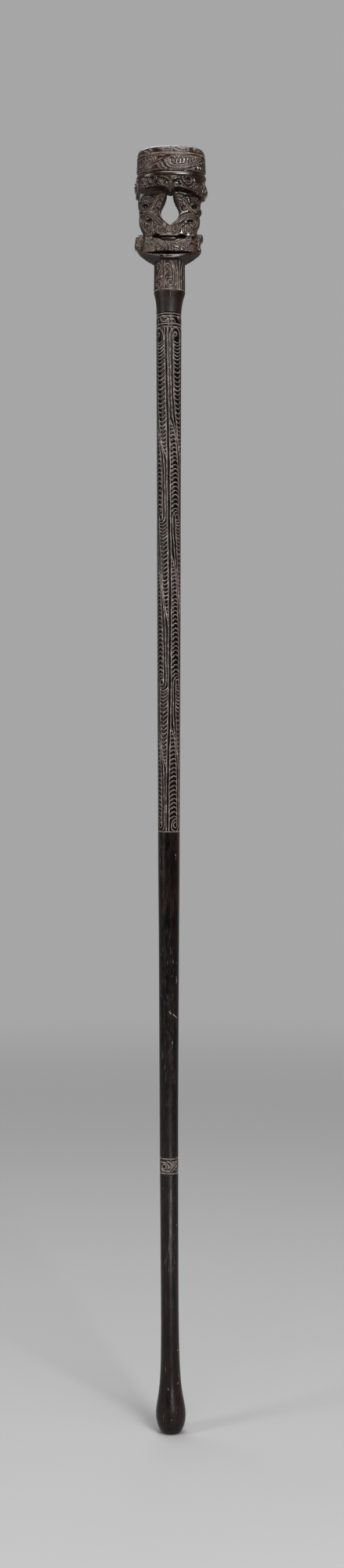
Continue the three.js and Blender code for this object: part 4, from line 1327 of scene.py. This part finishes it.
def makeBrow():
    form = brow
    x, y, z = carvingGrid(form)
    paths = linesOn(form, "lines", browBase)
    gap = planeGap(form, paths)
    fromRidge = planeGap(form, linesOn(form, "ridges", browBase))
    lip, eave = (sighted(stroke(form[edge]), form["sheet"], base) for edge, base in (
        ("lip", browBase), ("eave", openworkBase)))
    lipHeight = np.interp(x, *lip.T)
    eaveHeight = np.minimum(np.interp(x, *eave.T), lipHeight - 1.0)
    rise = np.clip((z - eaveHeight) / (lipHeight - eaveHeight), 0, 1)
    full = browBase(x, z)
    low = np.minimum(openworkBase(x, z) - 0.6, full - 0.3)
    # each ridge stands up with a cut along both sides; below the lip a cove runs in to the scrolls
    depth = full - dug(form, "pits", browBase, x, z)
    high, wide = form["ridge"]
    cutDeep, beside, narrow = form["ridgeCut"]
    depth = depth + high * np.exp(-(fromRidge / wide) ** 2)
    depth = depth - cutDeep * np.exp(-((fromRidge - beside) / narrow) ** 2)
    shape = np.where(rise >= 1, depth, low + (depth - low) * rise ** form["cove"])
    carved = shape + grooved(gap, *form["cut"]) * np.clip((z - lipHeight) / 0.8, 0, 1)
    tips = np.abs(x - lean(z) - form["axis"]) - form["reach"]
    body = (np.abs(y) - through(carved)) / through(slopeOf(form, full))
    body = softMax(body, through(np.maximum(eaveHeight - z, tips)), form["edgeRound"])
    lugs = np.maximum(*[insideDrawn(form, lug, flatDepth, x, z) for lug in ("leftLug", "rightLug")])
    lugFace = domed(form["lugDepth"], form["lugDrop"], lugs)
    lobe = np.abs(y) - through(lugFace + grooved(gap, *form["lugCut"]))
    lobe = softMax(lobe, -through(lugs), form["lugRound"])
    # the window runs up behind the keel
    cutIn = insideBy(windowOutline(form["windowPlay"]), x, z)
    cutter = np.minimum(through(cutIn), y + form["keelFace"])
    body = softMax(np.minimum(body, lobe), cutter, form["edgeRound"])
    carvedPiece("brow", form, body, gap, -cutIn)
    onLug = form["lugDepth"] - 1.0 > full
    lugFace = lugFace - shoulder(lugs, form["lugRound"])
    within = sampled(form, np.where(onLug, lugs, np.minimum(z - eaveHeight, 3)))
    lipAt = sampled(form, np.where(onLug, 0, lipHeight))
    kept = clipped(paths, lambda px, pz: (
        (within(px, pz) > 0.4) & (pz < form["top"] - 0.4) & (pz > lipAt(px, pz) + 0.6)))
    inlayBothFaces(form, [("brow", kept, np.where(onLug & (lugs > 0), lugFace, shape), form["inlay"])])


makeBrow()
print("brow made")

# Camera, floor and light

studio = {
    "paper": "#989898",
    "backdrop": "#a6a6a6",  # what is seen beyond the paper, from every side
    "reach": 16.0,  # m, from the stick to the paper's edges
    "fade": (0.7, 2.6),  # m, where the lit paper turns into the backdrop
    "dimRoom": 0.062,
    # each softbox: its place and what it points at in m, its width and height in m, its power in W
    "lamps": {
        "softbox_left": ((-1.6, -1.0, 1.2), (0, 0, 0.5), (0.5, 1.6), 20),
        "softbox_right_front": ((0.72, -1.75, 1.58), (0, 0, 0.8), (0.6, 0.5), 46),
        "softbox_top": ((0.2, -0.9, 2.7), (0, 0.2, 0), (1.4, 1.2), 50),
        "softbox_low": ((0.15, -0.52, 0.04), (0, -0.1, 0.8), (0.2, 0.12), 0.8),
        "softbox_behind": ((-0.4, 1.1, 2.8), (0, 0, 0.6), (1.6, 1.2), 36),
    },
}


def addObject(name, data):
    made = bpy.data.objects.new(name, data)
    bpy.context.scene.collection.objects.link(made)
    return made


camera = addObject("camera", bpy.data.cameras.new("camera"))
camera.location = (view["eyeX"] * mm, view["eyeY"] * mm, view["eyeZ"] * mm)
camera.rotation_euler = (math.radians(90), 0, 0)
camera.data.sensor_fit = "VERTICAL"
camera.data.sensor_height = 36
camera.data.lens = view["lens"]
camera.data.clip_end = 30
bpy.context.scene.camera = camera


def backdropRays(add, towardsBack):
    # 1 for the rays that show the backdrop: straight to the camera, through glass, and mirrored
    # where it stands behind the stick, from the y of the place or direction that they meet
    path = add("LightPath").node.outputs
    y = add("SeparateXYZ", (towardsBack,), "Y")
    behind = add("MapRange", (y, -0.1, 0.3))
    mirrored = add("Math", (path["Is Glossy Ray"], behind), operation="MULTIPLY")
    seen = add("Math", (path["Is Camera Ray"], mirrored), operation="MAXIMUM")
    return add("Math", (seen, path["Is Transmission Ray"]), operation="MAXIMUM")


def makeFloor():
    # a sheet of matt paper: lit round the stick, where it takes the shadow, and the colour of
    # the backdrop further out
    r = studio["reach"]
    mesh = bpy.data.meshes.new("paper_floor")
    mesh.from_pydata([(-r, -r, 0), (r, -r, 0), (r, r, 0), (-r, r, 0)], [], [(0, 1, 2, 3)])
    material, shader, add = newMaterial("studio_paper")
    setInputs(shader, {"Base Color": hexColour(studio["paper"]), "Roughness": 0.9})
    place = add("TexCoord", output="Object")
    away = add("VectorMath", (place,), "Value", operation="LENGTH")
    far = add("MapRange", (away, *studio["fade"]), interpolation_type="SMOOTHSTEP")
    share = add("Math", (far, backdropRays(add, place)), operation="MULTIPLY")
    glow = add("Emission", {"Color": hexColour(studio["backdrop"]), "Strength": 1.0})
    both = add("MixShader", (share, shader.outputs[0], glow))
    setInputs(material.node_tree.nodes["Material Output"], {"Surface": both})
    mesh.materials.append(material)
    floor = addObject("paper_floor", mesh)


makeFloor()
for name, (place, target, size, power) in studio["lamps"].items():
    lamp = addObject(name, bpy.data.lights.new(name, "AREA"))
    lamp.data.shape = "RECTANGLE"
    lamp.data.size, lamp.data.size_y = size
    lamp.data.energy = power
    lamp.location = place
    lamp.rotation_euler = (Vector(target) - Vector(place)).to_track_quat("-Z", "Y").to_euler()

world = bpy.data.worlds.new("studio")
world.use_nodes = True
world.node_tree.nodes.clear()
add = partial(addNode, world.node_tree)
direction = add("TexCoord", output="Generated")
dim, backdrop = (studio["dimRoom"],) * 3 + (1,), hexColour(studio["backdrop"])
colour = add("Mix", {0: backdropRays(add, direction), 6: dim, 7: backdrop}, 2, data_type="RGBA")
add("OutputWorld", {"Surface": add("Background", {"Color": colour, "Strength": 1.0})})
bpy.context.scene.world = world
bpy.context.scene.view_settings.view_transform = "Standard"
print("stage made")
